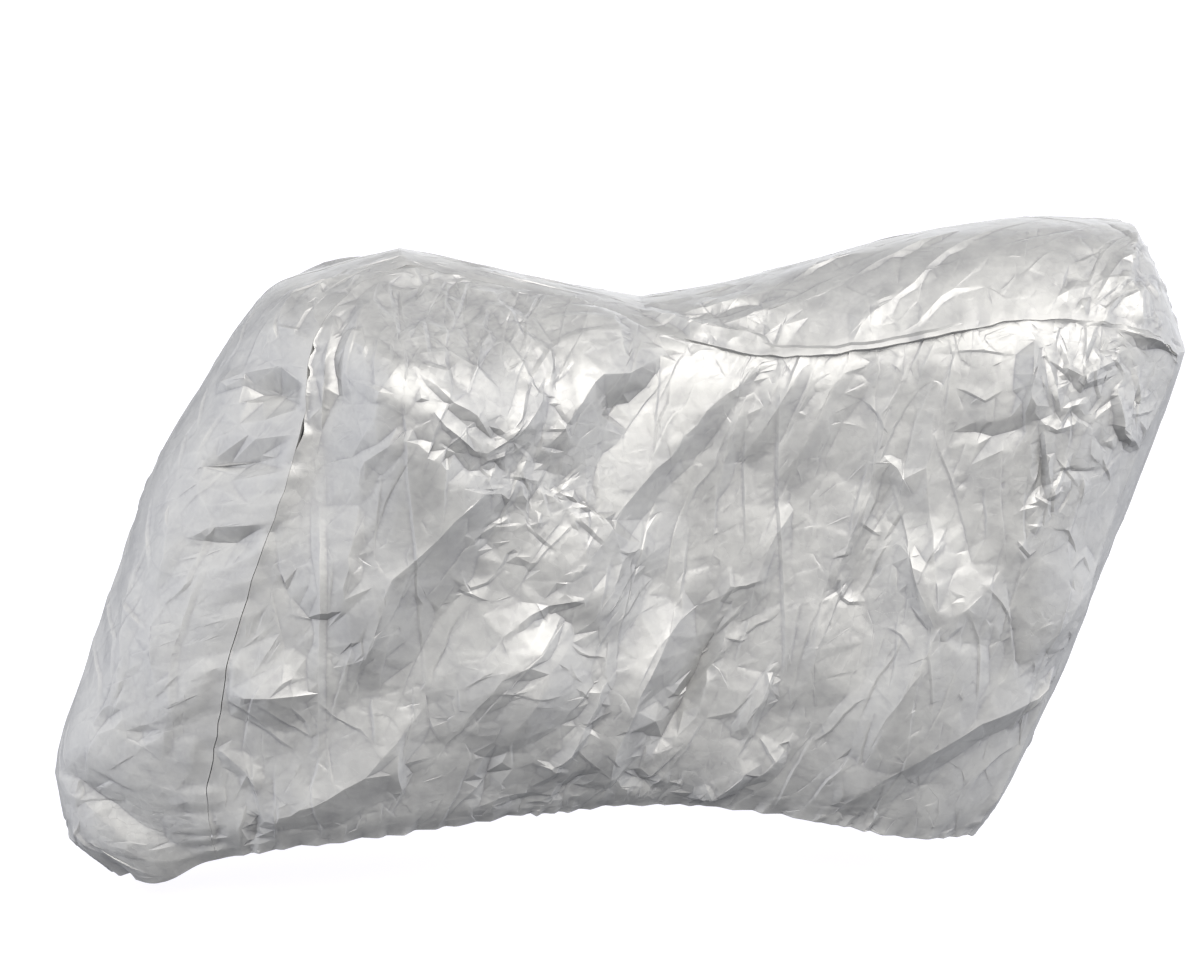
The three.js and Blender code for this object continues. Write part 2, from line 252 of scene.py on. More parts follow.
# Thin creases left from packing and handling: the rise, and x and z of each corner
CREASE = "rise line"
LEFT_CREASES = table(CREASE, [
    (3, (-425, 1125, -425, 1080, -425, 1010, -420, 920, -405, 775, -405, 675, -395, 565, -390, 485)),
    (5, (-400, 1135, -360, 1135, -340, 1135, -330, 1140)),
    (5, (-400, 1120, -350, 1105, -330, 1120)),
    (3, (-340, 1135, -300, 1105, -270, 1070, -270, 1050)),
    (4, (-440, 1190, -400, 1205, -380, 1225, -350, 1220)),
    (5, (-445, 1195, -440, 1175, -435, 1145, -410, 1165, -380, 1175, -355, 1165, -340, 1150)),
    (4, (-415, 1255, -395, 1250, -390, 1225)),
    (4, (-360, 1220, -340, 1210, -310, 1190)),
    (7.5, (-310, 1220, -275, 1210, -245, 1200, -210, 1205)),
    (7.5, (-265, 1195, -255, 1185, -225, 1175, -210, 1160, -185, 1150)),
    (3, (-265, 1145, -240, 1130, -220, 1100, -205, 1060, -195, 1040, -165, 1035)),
    (5, (-225, 1150, -205, 1130, -170, 1105, -165, 1095, -170, 1045)),
    (4, (-160, 1105, -130, 1115, -90, 1120, -55, 1125, 20, 1125)),
    (4, (-190, 1160, -165, 1150, -120, 1150, -65, 1145, 25, 1135)),
    (4, (-320, 1165, -290, 1160, -265, 1145)),
    (4, (-270, 1170, -265, 1150, -290, 1130, -300, 1105)),
    (5, (-450, 1235, -450, 1210, -445, 1195)),
    (3, (-555, 1145, -520, 1175, -495, 1195)),
    (3, (-575, 1125, -570, 1075, -570, 1045)),
    (3, (-590, 1090, -580, 1060, -575, 1030)),
    (3, (-470, 1150, -470, 1110, -465, 1065)),
    (2.5, (-475, 1050, -455, 1060)),
    (9, (-585, 845, -585, 730, -585, 660, -590, 605, -595, 475, -595, 385, -595, 315)),
    (3, (-645, 635, -600, 625, -595, 595)),
    (3, (-700, 460, -650, 415, -610, 390, -595, 405)),
    (3, (-595, 465, -565, 430, -510, 405, -490, 380)),
    (2.5, (-540, 555, -545, 485)),
    (4, (-335, 710, -310, 685, -270, 700, -250, 725)),
    (4, (-330, 685, -305, 675, -270, 660)),
    (4, (-230, 765, -245, 745, -250, 725)),
    (3, (-495, 470, -490, 420, -485, 380)),
    (2.5, (-330, 490, -325, 445, -310, 450)),
    (2.5, (-325, 490, -290, 515, -265, 535)),
    (3, (-385, 430, -375, 400, -360, 380)),
    (3, (-120, 575, -105, 550, -55, 540)),
    (2.5, (-115, 490, -85, 455)),
    (2.5, (-150, 545, -105, 495)),
    (3, (-270, 490, -225, 485, -180, 475, -140, 480)),
    (4, (-190, 335, -160, 320, -135, 335, -100, 375)),
    (3, (-35, 750, -15, 740, 10, 745)),
    (3, (-45, 605, -20, 620, 10, 660, 40, 680)),
    (4, (290, 1085, 285, 950, 285, 830, 295, 680, 300, 550, 300, 470)),
    (2.5, (60, 1095, 50, 1025, 40, 950)),
    (2.5, (225, 995, 220, 875, 225, 740)),
    (2.5, (-90, 880, -95, 805, -100, 740)),
    (2.5, (165, 875, 165, 810, 160, 740)),
    (3, (110, 780, 105, 700, 90, 625)),
    (2.5, (-355, 955, -360, 900, -360, 840)),
    (2.5, (-10, 730, -10, 675, -35, 590, -40, 510)),
    (3, (-55, 740, -70, 675, -85, 615)),
    (5, (175, 640, 205, 660, 230, 665, 270, 680)),
    (5, (190, 700, 195, 665, 175, 630)),
    (4, (225, 635, 205, 605, 170, 570, 145, 535)),
    (3, (195, 545, 240, 580, 290, 605)),
    (3, (185, 560, 210, 550, 230, 555)),
    (4, (290, 515, 265, 490, 275, 455, 290, 440)),
    (4, (240, 410, 235, 365, 210, 320)),
    (4, (285, 330, 295, 350, 315, 350, 315, 315)),
    (3, (325, 635, 315, 585, 310, 545, 300, 490)),
    (4, (385, 720, 410, 725, 425, 730)),
    (5, (405, 695, 405, 650, 415, 630, 455, 630)),
    (4, (545, 630, 570, 600, 585, 585)),
    (3, (470, 450, 440, 435, 415, 410, 385, 370, 345, 340)),
    (3, (500, 585, 530, 570, 550, 540)),
    (4, (635, 600, 620, 580, 600, 565)),
    (3, (650, 620, 670, 555, 670, 495, 665, 435)),
    (3, (675, 675, 710, 635, 740, 570)),
    (5, (735, 755, 760, 725, 770, 740)),
    (3, (805, 775, 835, 770, 860, 720)),
    (4, (840, 690, 870, 710, 890, 675)),
    (3, (770, 325, 720, 300, 680, 260, 670, 235)),
    (3, (795, 365, 770, 300, 750, 250, 730, 205)),
    (8.5, (780, 1105, 790, 1050, 810, 1005)),
    (7, (780, 980, 790, 905, 790, 835, 780, 800)),
    (7, (790, 835, 820, 850)),
    (7, (770, 990, 805, 970, 840, 975, 850, 995)),
    (8.5, (840, 1100, 865, 1080, 855, 1055, 905, 1065, 925, 1085)),
    (7, (885, 1160, 865, 1120, 845, 1080)),
    (7, (925, 1040, 930, 965, 960, 915, 985, 910)),
    (7, (965, 1075, 975, 1010, 1000, 1025)),
    (6, (815, 1130, 830, 1095, 815, 1060)),
    (2.5, (445, 1025, 475, 995, 495, 955)),
    (2.5, (580, 960, 615, 865, 650, 740)),
    (2.5, (500, 875, 540, 740, 570, 620)),
    (2.5, (480, 880, 470, 825, 420, 720)),
    (2.5, (600, 1115, 665, 1120, 730, 1110)),
    (3, (620, 1050, 670, 1025, 705, 1045)),
    (4, (-775, 465, -735, 445, -690, 410)),
    (4, (-730, 425, -685, 395, -640, 360)),
    (4, (-645, 455, -620, 425, -605, 390)),
    (7, (775, 1140, 790, 1095, 805, 1040, 815, 995)),
    (6, (795, 835, 820, 880, 835, 925)),
    (5, (-405, 1165, -365, 1155, -325, 1160, -305, 1140)),
    (5, (-305, 1140, -295, 1110, -310, 1070)),
    (4, (-350, 1205, -330, 1180, -345, 1160)),
    (6, (-295, 1200, -265, 1185, -240, 1175, -205, 1155)),
    (5, (-265, 1185, -280, 1160, -260, 1130)),
    (5, (-230, 1175, -215, 1140, -190, 1120)),
    (5, (-190, 1120, -170, 1075, -180, 1040)),
    (5, (-325, 1160, -280, 1170, -265, 1185)),
])

# Crumpled patches: middle, radius and how much stronger the crumples are there
PATCH = "x z radius more"
LEFT_PATCHES = table(PATCH, [
    (-420, 1125, 75, 1.1),  # upper front
    (-340, 1215, 80, 1.0),
    (-220, 1160, 90, 1.2),
    (-250, 945, 70, 2.0),
    (-150, 860, 80, 2.4),
    (880, 1050, 110, 1.2),  # tail
    (960, 980, 90, 0.8),
    (450, 670, 90, 0.4),
    (800, 840, 70, 1.5),
    (860, 520, 90, 1.2),
    (-60, 330, 120, 0.6),
    (120, 270, 110, 0.6),
    (-700, 900, 120, 0.6),
])

# The right panel has the left one's folds, displaced by these waves, and some of them left out
RIGHT_WAVES = table("size length", [(45, 190), (28, 230)])
LEFT_OUT = 5  # the right panel goes without the first fold of every five
LONG_CREST = 6  # there, a crest of more corners than this runs out one corner sooner

# Folds of the centre strip, with each place as station and share of the half-width (-1 at the
# left seam, 1 at the right)
STRIP_FOLDS = table(FOLD, [
    # arcs on the left of the front
    (-30, 80, ((7.15, -0.70, 20), (7.25, -0.76, 50), (7.3, -0.85, 60), (7.2, -0.93, 55), (7.2, -1.00, 30))),
    (12, 40, ((7.4, -0.66, 20), (7.3, -0.52, 24), (7.2, -0.39, 12))),
    (-22, 90, ((6.35, -0.60, 20), (6.4, -0.77, 45), (6.4, -0.87, 55), (6.4, -0.95, 50), (6.4, -1.00, 25))),
    (-17, 70, ((5.5, -0.70, 15), (5.45, -0.80, 30), (5.4, -0.88, 40), (5.2, -1.00, 20))),
    # furrow under the front pouch
    (-18, 36, ((2.2, -0.23, 40), (2.1, -0.42, 62), (1.6, -0.66, 66), (1.0, -0.83, 58), (0.3, -0.93, 32))),
    # upright folds of the front
    (8, 30, ((5.3, -0.33, 20), (4.8, -0.43, 32), (4.1, -0.54, 32), (3.5, -0.62, 16))),
    (9, 40, ((4.1, -0.94, 16), (3.9, -0.91, 32), (3.5, -0.88, 36), (3.1, -0.88, 16))),
    (9, 26, ((4.8, -0.65, 16), (4.4, -0.68, 28), (3.9, -0.76, 28), (3.6, -0.82, 16))),
    (7, 30, ((5.9, -0.52, 16), (5.3, -0.61, 24), (4.9, -0.59, 20))),
    (-7, 18, ((3.2, -0.54, 16), (3.4, -0.58, 20), (3.5, -0.64, 12))),  # small furrows above the pouch
    (-7, 18, ((3.2, -0.69, 12), (3.0, -0.76, 20), (3.1, -0.82, 12))),
    (10, 40, ((8.5, -0.58, 12), (8.9, -0.61, 28), (9.2, -0.58, 20))),  # band on the nose
    (6, 40, ((8.6, -0.38, 16), (8.0, -0.65, 24), (7.6, -0.65, 16))),  # streak down from it
    # roll along the overhanging edge
    (16, 40, (
        (14.3, -0.86, 16), (14.1, -0.84, 36), (13.8, -0.89, 32), (13.7, -0.82, 28), (13.5, -0.86, 28),
        (13.2, -0.72, 24), (12.9, -0.54, 12))),
    # steep facet above it
    (12, 36, ((14.9, -0.63, 12), (14.5, -0.67, 32), (14.2, -0.70, 32), (13.8, -0.78, 12))),
    # bands behind the dip
    (8, 50, ((14.6, -0.40, 6), (14.4, -0.38, 10), (14.1, -0.50, 12), (13.8, -0.53, 10), (13.4, -0.61, 6))),
    (9, 70, ((15.9, -0.25, 8), (15.6, -0.20, 14), (15.2, -0.18, 14), (14.9, -0.32, 8))),
    (10, 34, ((14.9, -0.71, 16), (14.7, -0.76, 28), (14.3, -0.86, 20))),
    (8, 40, ((16.0, -0.77, 12), (15.7, -0.85, 20), (15.4, -0.92, 10))),
    # bands that run to the tail
    (8, 90, ((17.0, -0.14, 6), (16.6, -0.24, 10), (16.0, -0.39, 12), (15.6, -0.48, 8))),
    (6, 80, (
        (17.5, -0.17, 5), (17.0, -0.36, 8), (16.7, -0.48, 8), (16.3, -0.68, 9), (15.9, -0.79, 8),
        (15.5, -0.86, 6))),
    (5, 60, ((17.3, -0.56, 5), (16.8, -0.76, 8), (16.4, -0.88, 8), (16.0, -0.97, 5))),
    # facet at the tail's corner
    (16, 40, (
        (19.1, -0.67, 12), (19.2, -0.78, 28), (19.5, -0.85, 36), (19.7, -0.96, 28), (19.7, -1.00, 12))),
    # edge of the tail
    (8, 40, ((18.8, -1.00, 10), (18.8, -0.97, 20), (18.8, -0.81, 24), (18.8, -0.69, 20), (18.9, -0.59, 8))),
    (8, 14, ((18.6, -0.82, 8), (18.4, -0.85, 14), (18.2, -0.89, 10))),  # puckers at the tail seam
    (8, 16, ((18.5, -0.91, 8), (18.6, -0.95, 18), (18.7, -1.00, 10))),
    (8, 30, ((19.1, -0.53, 8), (18.9, -0.60, 16))),
    (-16, 70, ((7.2, 1.0, 20), (7.3, 0.85, 55), (7.2, 0.7, 40), (7.1, 0.5, 15))),  # right side of the front
    (-12, 80, ((6.1, 1.0, 20), (6.2, 0.8, 50), (6.1, 0.55, 16))),
    (-16, 36, ((2.2, 0.1, 30), (2.0, 0.5, 60), (1.4, 0.75, 60), (0.4, 0.93, 30))),
    (8, 30, ((5.2, 0.25, 16), (4.3, 0.4, 30), (3.4, 0.55, 16))),
    (8, 30, ((4.9, 0.7, 16), (4.2, 0.65, 28), (3.4, 0.75, 12))),
    (7, 30, ((5.6, 0.0, 12), (4.6, -0.1, 28), (3.4, -0.2, 14))),
    (8, 30, ((8.4, 0.55, 12), (9.0, 0.6, 26), (9.4, 0.55, 14))),
    (12, 40, ((13.4, 0.85, 14), (14.4, 0.6, 30), (15.6, 0.4, 16))),
    (10, 40, ((14.6, 0.85, 14), (15.7, 0.65, 30), (17.0, 0.4, 14))),
    (8, 40, ((15.8, 0.9, 12), (16.8, 0.7, 22), (17.8, 0.45, 10))),
    (10, 40, ((20.4, 0.7, 12), (19.5, 0.5, 28), (18.5, 0.2, 14))),
    (-9, 60, ((24.6, -0.6, 30), (24.0, 0.0, 60), (23.4, 0.7, 30))),  # down the back
    (-10, 60, ((26.2, 0.6, 30), (25.6, 0.0, 60), (25.1, -0.6, 30))),
    (9, 45, ((22.0, -0.5, 16), (23.0, -0.3, 36), (24.2, -0.35, 16))),
    (9, 45, ((22.3, 0.5, 16), (23.4, 0.35, 36), (24.8, 0.4, 16))),
    (8, 45, ((24.4, -0.1, 16), (25.6, 0.1, 34), (26.8, 0.0, 14))),
])
# Thin creases of the strip: station and share of each corner
STRIP_CREASES = table(CREASE, [
    (4, (4.3, -0.12, 3.9, -0.41, 3.5, -0.49)),
    (4, (4.9, 0.0, 4.4, -0.43, 3.6, -0.57)),
    (4, (4.9, -0.34, 4.5, -0.65)),
    (4, (4.2, -0.80, 2.9, -0.88)),
    (4, (3.2, -0.84, 2.5, -0.85)),
    (5, (2.9, -0.94, 2.2, -0.95)),
    (3.5, (5.2, -0.80, 4.6, -0.80, 4.1, -0.80)),
    (3.5, (6.7, -0.33, 6.3, -0.46)),
    (3.5, (7.2, -0.22, 6.8, -0.44)),
    (3.5, (8.0, -0.05, 7.6, -0.36, 7.4, -0.31)),
    (3.5, (5.9, -0.29, 5.5, -0.41, 5.2, -0.52)),
    (3.5, (5.9, -0.50, 5.6, -0.55)),
    (3.5, (5.7, -0.78, 5.3, -0.76, 4.8, -0.75)),
    (3.5, (7.1, -0.57, 6.7, -0.55, 6.3, -0.56)),
    (3.5, (5.6, 0.6, 5.0, 0.5, 4.3, 0.55)),
    (3.5, (6.9, 0.3, 6.2, 0.45)),
    (3.5, (4.6, 0.8, 3.7, 0.78)),
])
STRIP_PATCH = "t s radius more"
STRIP_PATCHES = table(STRIP_PATCH, [
    (18.8, -0.6, 110, 1.0),
    (19.7, -0.8, 100, 1.0),
    (20.2, 0.1, 120, 1.2),
    (19.2, 0.6, 120, 1.2),
    (8.6, -0.6, 90, 0.8),
    (14.2, -0.6, 120, 0.8),
    (5.6, 0.2, 120, 0.6),
    (1.2, -0.4, 130, 0.8),
    (1.2, 0.5, 130, 0.8),
    (26.0, 0.0, 160, 0.6),
])

# Where the strip's edge hangs over the left seam: station, reach along, overhang and height
LIPS = table("t reach over out", [
    (13.9, 1.9, 13, 10),
    (16.4, 2.6, 4, 4),
])
# Where a panel's upper edge is tucked under that
TUCKS = table("t reach over out", [
    (13.9, 1.9, -4, -9),
    (16.4, 2.6, -2, -4),
])
# Where a front or tail seam gapes: station, reach along and gap
SLITS = table("t reach gap", [
    (7.9, 0.10, 6),
    (7.6, 0.10, 6),
    (6.8, 0.28, 7),
    (20.75, 0.20, 8),
])
SEAM_KNOTS = 150  # corners of the seam's waver
SEAM_WAVER = (2.0, 4.0, 2.5)  # along x, y and z
SEAM_SEED = 77
SEAM_REACH = 22  # how far from a seam the sheet still shares its waver
RIGHT_LIP = 0.3  # the overhang of the right seam, as a share of the left one's
# From each edge to the middle of the seam
SEAM_GAPS = table("t gap", [
    (0, 0.3),
    (1.2, 0.5),
    (2.0, 1.0),
    (4.6, 0.9),
    (5.5, 0.6),
    (6.5, 0.3),
    (28, 0.3),
])

# How the folds are worked
PANEL_FLAT = (1650, 1200)  # the rectangle on which a side panel's folds are laid out
STRIP_HALF_WIDTH = 230
STRIP_STEPS = 600  # places at which the strip is measured along its length
# Rises in the fold tables are multiplied by this, on a panel and on the strip
FOLD_GAIN = 1.45
STRIP_GAIN = 1.2
LEE_CURVE = 1.1  # hollow of the steep side
LEAD_CURVE = 1.35  # hollow of the long side
TAPER_POWER = 0.8  # how late a fold runs out towards its ends
FOLD_FADE = 16  # from this distance to a seam the folds fade out
GATHER_FADE = 20  # and the gathers from this
EDGE_MARGIN = 8  # crests and feet closer to the edge than this are left out
FOOT_CLEAR = 5  # feet closer to a crest than this are left out
# Finding a place on the flat sheet: from the nearest corner of a grid, in a few steps of limited length
FIND_GRID = (240, 160)
FIND_STEPS = 3
FIND_MOVE = 15
# Spacing and waver of the corners on a crest, for a fold and for a thin crease
CREST_STEP = (42, 18)
CREST_WAVER = (4, 1.0)
# A thin crease's flanks: the steep one from its rise, and the long one from the steep one
CREASE_LEE = 1.4
CREASE_LEAD = 7.0
CREASE_LEAD_MOST = 20
# Stray creases between those listed: how many on a panel and on the strip, their length and
# rise, each from-to, and the turn from the lie
PANEL_STRAYS = 170
STRIP_STRAYS = 180
STRAY = SimpleNamespace(length=(60, 220), rise=(1.0, 2.8), turn=16)
# Small crinkles all over
CRINKLES = 480
CRINKLE = SimpleNamespace(length=(12, 48), rise=(0.5, 1.4), turn=70)
# In a crumpled patch they are short and run all ways
PATCHED = SimpleNamespace(length=(25, 85), rise=(2.2, 5.5), turn=180)
PATCH_SPACING = 7
# How the stray creases lie: degrees from the length, along a panel and along the strip
PANEL_LIE = table("x angle", [
    (-800, 90),
    (-560, 85),
    (-450, 75),
    (-250, 57),
    (300, 62),
    (550, 80),
    (700, 85),
    (900, 70),
])
STRIP_LIE = table("t angle", [
    (0, 0),
    (8, 0),
    (12, 5),
    (13.5, 22),
    (18, 22),
    (19, 45),
    (21, 0),
    (28, 0),
])
# Calm stretches between the creases: spacing and unevenness of their facets
FACET_PITCH = 80
FACET_HEIGHT = 1.2
# Smaller facets: edges longer than each limit are split in turn, and the new corner lifted or
# sunk by a share of the edge's length
SPLIT_LIMITS = (60, 40, 27, 18, 13, 9.8)
ROUGH_LENGTHS = (8, 16, 30, 60)
ROUGH = (0.004, 0.006, 0.008, 0.009)
SHARP_ANGLE = 16
# Painted crease shade and wear: the bend at which furrows are fully darkened as painted shade and crests
# fully lightened, partly as rubbed coat and partly as painted highlight, and the limits in furrows and on
# crests
FULL_BEND = 0.12
CREASE_SHADE_AND_WEAR_LIMITS = (-1, 0.35)
# Gathers of the hem: pitch, share of the rise and reach, each from-to, and the rise. They are counted
# at a closer pitch than their mean, so that they reach past the end of the hem
GATHER_PITCH = (10, 42)
GATHER_SHARE = (0.1, 1)
GATHER_REACH = (25, 90)
GATHER_COUNT_PITCH = 22
GATHER_RISE = 6.5
GATHER_SEED = 50  # added to the sheet's own seed
# The hem's edge as it rolls under
HEM_ROLL = table("inward up", [(1.5, -2.0), (4.5, -2.5), (6.5, 0.5), (7.0, 9.0), (6.5, 20.0)])


def as_points(rows, *names):
    """Columns of a table as an array of points."""
    return np.array([[getattr(row, name) for name in names] for row in rows], float)


def spline(points, places, corners=()):
    """A line through points, at places counted in points: smooth but for its corners."""
    padded = np.vstack([2 * points[0] - points[1], points, 2 * points[-1] - points[-2]])
    first = np.clip(places.astype(int), 0, len(points) - 2)
    share = (places - first)[..., None]
    p0, p1, p2, p3 = (padded[first + step] for step in range(4))
    p0 = np.where(np.isin(first, corners)[..., None], 2 * p1 - p2, p0)
    p3 = np.where(np.isin(first + 1, corners)[..., None], 2 * p2 - p1, p3)
    bend = 2 * p0 - 5 * p1 + 4 * p2 - p3
    twist = 3 * p1 - p0 - 3 * p2 + p3
    return 0.5 * (2 * p1 + (p2 - p0) * share + bend * share ** 2 + twist * share ** 3)


RIDGE = as_points(STATIONS, "ridge_x", "ridge_z")
SEAM = as_points(STATIONS, "seam_x", "seam_y", "seam_z") * (1, -1, 1)
HEM_LINE = np.vstack([SEAM[0], as_points(HEM, "x", "y", "z") * (1, -1, 1), SEAM[LAST]])


def swell(distance, reach):
    """Half a wave: 1 at its crest, 0 at its reach and beyond."""
    share = np.clip(np.abs(distance) / reach, 0, 1)
    return np.cos(share * math.pi / 2) ** 2


def smooth(share):
    """Eases from 0 to 1."""
    share = np.clip(share, 0, 1)
    return share * share * (3 - 2 * share)


def unit(vectors):
    """Vectors at length 1."""
    return vectors / np.maximum(np.linalg.norm(vectors, axis=-1, keepdims=True), 1e-9)


def scattered(width, length, pitch, draw):
    """Uneven sites about a pitch apart over a rectangle."""
    count = np.ceil(np.array([width, length]) / pitch).astype(int)
    grid = np.stack(np.meshgrid(*(np.arange(n) + 0.5 for n in count), indexing="ij"), -1).reshape(-1, 2)
    sites = (grid + draw.uniform(-0.45, 0.45, grid.shape)) / count * (width, length)
    return sites[draw.random(len(sites)) > 0.2]


def rim(width, length, pitch, draw):
    """Uneven sites round the edge of a rectangle, with its corners."""
    sites = []
    corners = np.array([(0, 0), (width, 0), (width, length), (0, length)], float)
    for start, stop in zip(corners, np.roll(corners, -1, axis=0)):
        steps = int(math.dist(start, stop) / pitch)
        share = (np.arange(steps) + draw.uniform(-0.3, 0.3, steps)) / steps
        share[0] = 0
        sites.append(start + share[:, None] * (stop - start))
    return np.vstack(sites)


def joined(sheet, sites, lines):
    """Joins sites by triangles that keep to the given lines and to the sheet's outline. Gives the
    triangles, the corners, which include the crossings of lines, and the first site at each corner
    (-1 at a crossing)."""
    wide = np.array(sites)
    wide[:, 1] = (sites[:, 1] - sheet.middle) * sheet.width_at(sites[:, 0])
    found = delaunay_2d_cdt([Vector(site) for site in wide], lines.tolist(), [], 0, 1e-4)
    owner = np.array([owners[0] if owners else -1 for owners in found[3]])
    crossings = np.array([corner[:] for corner in found[0]])
    crossings[:, 1] = crossings[:, 1] / sheet.width_at(crossings[:, 0]) + sheet.middle
    corners = np.where((owner >= 0)[:, None], sites[owner], crossings)
    triangles = np.array(found[2])
    a, b, c = (corners[triangles[:, i]] for i in range(3))
    return triangles[np.abs(np.cross(b - a, c - a)) > 1e-3], corners, owner


def edge_pairs(triangles):
    """The two corners of each edge of each triangle, the lower number first."""
    sides = [triangles[:, [0, 1]], triangles[:, [1, 2]], triangles[:, [2, 0]]]
    return np.sort(np.concatenate(sides), axis=1)


def split_long(triangles, sites, heights, sheet, limit, draw):
    """Splits each edge that is longer than a limit, and lifts or sinks the new corner a little."""
    points = sheet.place(sites)
    edges, owner = np.unique(edge_pairs(triangles), axis=0, return_inverse=True)
    owner = owner.reshape(3, -1)
    first, second = edges.T
    lengths = np.linalg.norm(points[first] - points[second], axis=1)
    long = lengths > limit
    share = draw.uniform(0.4, 0.6, len(edges))
    middle = sites[first] + share[:, None] * (sites[second] - sites[first])
    level = heights[first] + share * (heights[second] - heights[first])
    rough = np.interp(lengths, ROUGH_LENGTHS, ROUGH)
    level += draw.uniform(-1, 1, len(edges)) * rough * lengths * sheet.gain(middle)
    number = np.full(len(edges), -1)
    number[long] = len(sites) + np.arange(long.sum())
    ab, bc, ca = number[owner]
    a, b, c = triangles.T
    parts = []
    for turn in range(3):
        one = (ab >= 0) & (bc < 0) & (ca < 0)
        parts += [np.stack([a, ab, c], 1)[one], np.stack([ab, b, c], 1)[one]]
        two = (ab >= 0) & (bc >= 0) & (ca < 0)
        parts += [np.stack([ab, b, bc], 1)[two], np.stack([a, ab, bc], 1)[two], np.stack([a, bc, c], 1)[two]]
        a, b, c, ab, bc, ca = b, c, a, bc, ca, ab
    none = (ab < 0) & (bc < 0) & (ca < 0)
    every = (ab >= 0) & (bc >= 0) & (ca >= 0)
    parts.append(triangles[none])
    for corners in ((a, ab, ca), (ab, b, bc), (ca, bc, c), (ab, bc, ca)):
        parts.append(np.stack(corners, 1)[every])
    sites = np.vstack([sites, middle[long]])
    heights = np.concatenate([heights, level[long]])
    return np.vstack(parts), sites, heights


def nearest_on(x, z, x0, z0, x1, z1):
    """Nearest place on a straight stretch: distance, side (1 to the left of its run), share."""
    run_x = x1 - x0
    run_z = z1 - z0
    share = np.clip(((x - x0) * run_x + (z - z0) * run_z) / (run_x ** 2 + run_z ** 2), 0, 1)
    distance = np.hypot(x - x0 - share * run_x, z - z0 - share * run_z)
    side = np.sign(run_x * (z - z0) - run_z * (x - x0))
    return distance, side, share


def roof(distance, reach, curve):
    """Height of a roof's slope, 1 at the ridge and 0 at its reach, hollowed by curve."""
    share = np.clip(1 - distance / reach, 0, 1)
    return share ** curve


def as_fold(rise, lead, line, lee):
    """A fold from its rise, its lead, the corners of its crest and the lee at each corner."""
    line = np.array(line, float)
    steps = np.linalg.norm(np.diff(line, axis=0), axis=1)
    walked = np.concatenate([[0], np.cumsum(steps)])
    lee = np.array(lee, float)
    return SimpleNamespace(rise=rise, lead=lead, line=line, lee=lee, walked=walked, thin=False)


def as_crease(rise, line):
    """A thin crease from its rise and the corners of its crest."""
    lee = CREASE_LEE * abs(rise) + 1
    lead = min(CREASE_LEAD * lee, CREASE_LEAD_MOST)
    crease = as_fold(rise, lead, line, [lee] * len(line))
    crease.thin = True
    return crease


def dark_lees(sheet, lines):
    """Lines of creases, turned so that their steep sides are the dark ones: they look down on an
    upright stretch of sheet, and up on a shelving one."""
    middles = sheet.find(np.array([line.mean(axis=0) for line in lines]))
    shelving = sheet.normal(middles)[:, 2] > 0.5
    return [line if (line[-1, 0] < line[0, 0]) != up else line[::-1] for line, up in zip(lines, shelving)]


def fold_relief(places, fold):
    """Height of one fold at places in the folds' own coordinates."""
    heights = np.zeros(len(places))
    reach = max(fold.lead, fold.lee.max())
    low = fold.line.min(axis=0) - reach
    high = fold.line.max(axis=0) + reach
    inside = np.flatnonzero(np.all((places > low) & (places < high), axis=1))
    x, z = places[inside].T
    nearest = np.full(len(inside), np.inf)
    along = np.zeros(len(inside))
    left = np.zeros(len(inside))
    for i, (start, stop) in enumerate(zip(fold.line, fold.line[1:])):
        distance, side, share = nearest_on(x, z, *start, *stop)
        nearer = distance < nearest
        nearest = np.where(nearer, distance, nearest)
        left = np.where(nearer, side, left)
        along = np.where(nearer, i + share, along)
    numbers = np.arange(len(fold.line))
    lee = np.interp(along, numbers, fold.lee)
    share = np.interp(along, numbers, fold.walked / fold.walked[-1])
    taper = np.sin(math.pi * np.clip(share, 0.02, 0.98)) ** TAPER_POWER
    slope = np.where(left > 0, roof(nearest, lee, LEE_CURVE), roof(nearest, fold.lead, LEAD_CURVE))
    heights[inside] = fold.rise * taper * slope
    return heights


def fold_sites(folds, draw):
    """Places on the crests of folds, the pairs of them that a crest joins, and places at the folds'
    feet, all in the folds' own coordinates."""
    crests = []
    joins = []
    feet = []
    count = 0
    for fold in folds:
        thin = fold.thin
        steps = max(2, round(fold.walked[-1] / CREST_STEP[thin]))
        places = (np.arange(steps + 1) + draw.uniform(-0.3, 0.3, steps + 1)) / steps
        places = np.clip(places, 0, 1) * fold.walked[-1]
        crest = np.stack([np.interp(places, fold.walked, fold.line[:, axis]) for axis in range(2)], -1)
        heading = unit(np.gradient(crest, axis=0))
        left = np.stack([-heading[:, 1], heading[:, 0]], -1)
        lee = np.interp(places, fold.walked, fold.lee)
        spread = draw.uniform(0.85, 1.15, (2, steps + 1, 1))
        crest = crest + draw.uniform(-1, 1, crest.shape) * CREST_WAVER[thin]
        lines = [crest]
        if thin:
            lines.append(crest + lee[:, None] * left)
        else:
            feet.append((crest + spread[0] * lee[:, None] * left)[draw.random(steps + 1) < 0.8])
        feet.append((crest - spread[1] * fold.lead * left)[draw.random(steps + 1) < 0.5])
        for line in lines:
            crests.append(line)
            joins.append(count + np.stack([np.arange(steps), np.arange(1, steps + 1)], -1))
            count += steps + 1
    return np.vstack(crests), np.vstack(joins), np.vstack(feet)


def total_relief(places, folds):
    """Height of folds together."""
    return np.sum([fold_relief(places, fold) for fold in folds], axis=0)


def kinked(centre, angle, length, draw):
    """Corners of a short line with a few kinks."""
    corners = draw.integers(3, 6)
    along = np.linspace(-0.5, 0.5, corners)[:, None] * length
    across = draw.uniform(-0.04, 0.04, (corners, 1)) * length
    heading = np.array([math.cos(angle), math.sin(angle)])
    return centre + along * heading + across * (-heading[1], heading[0])


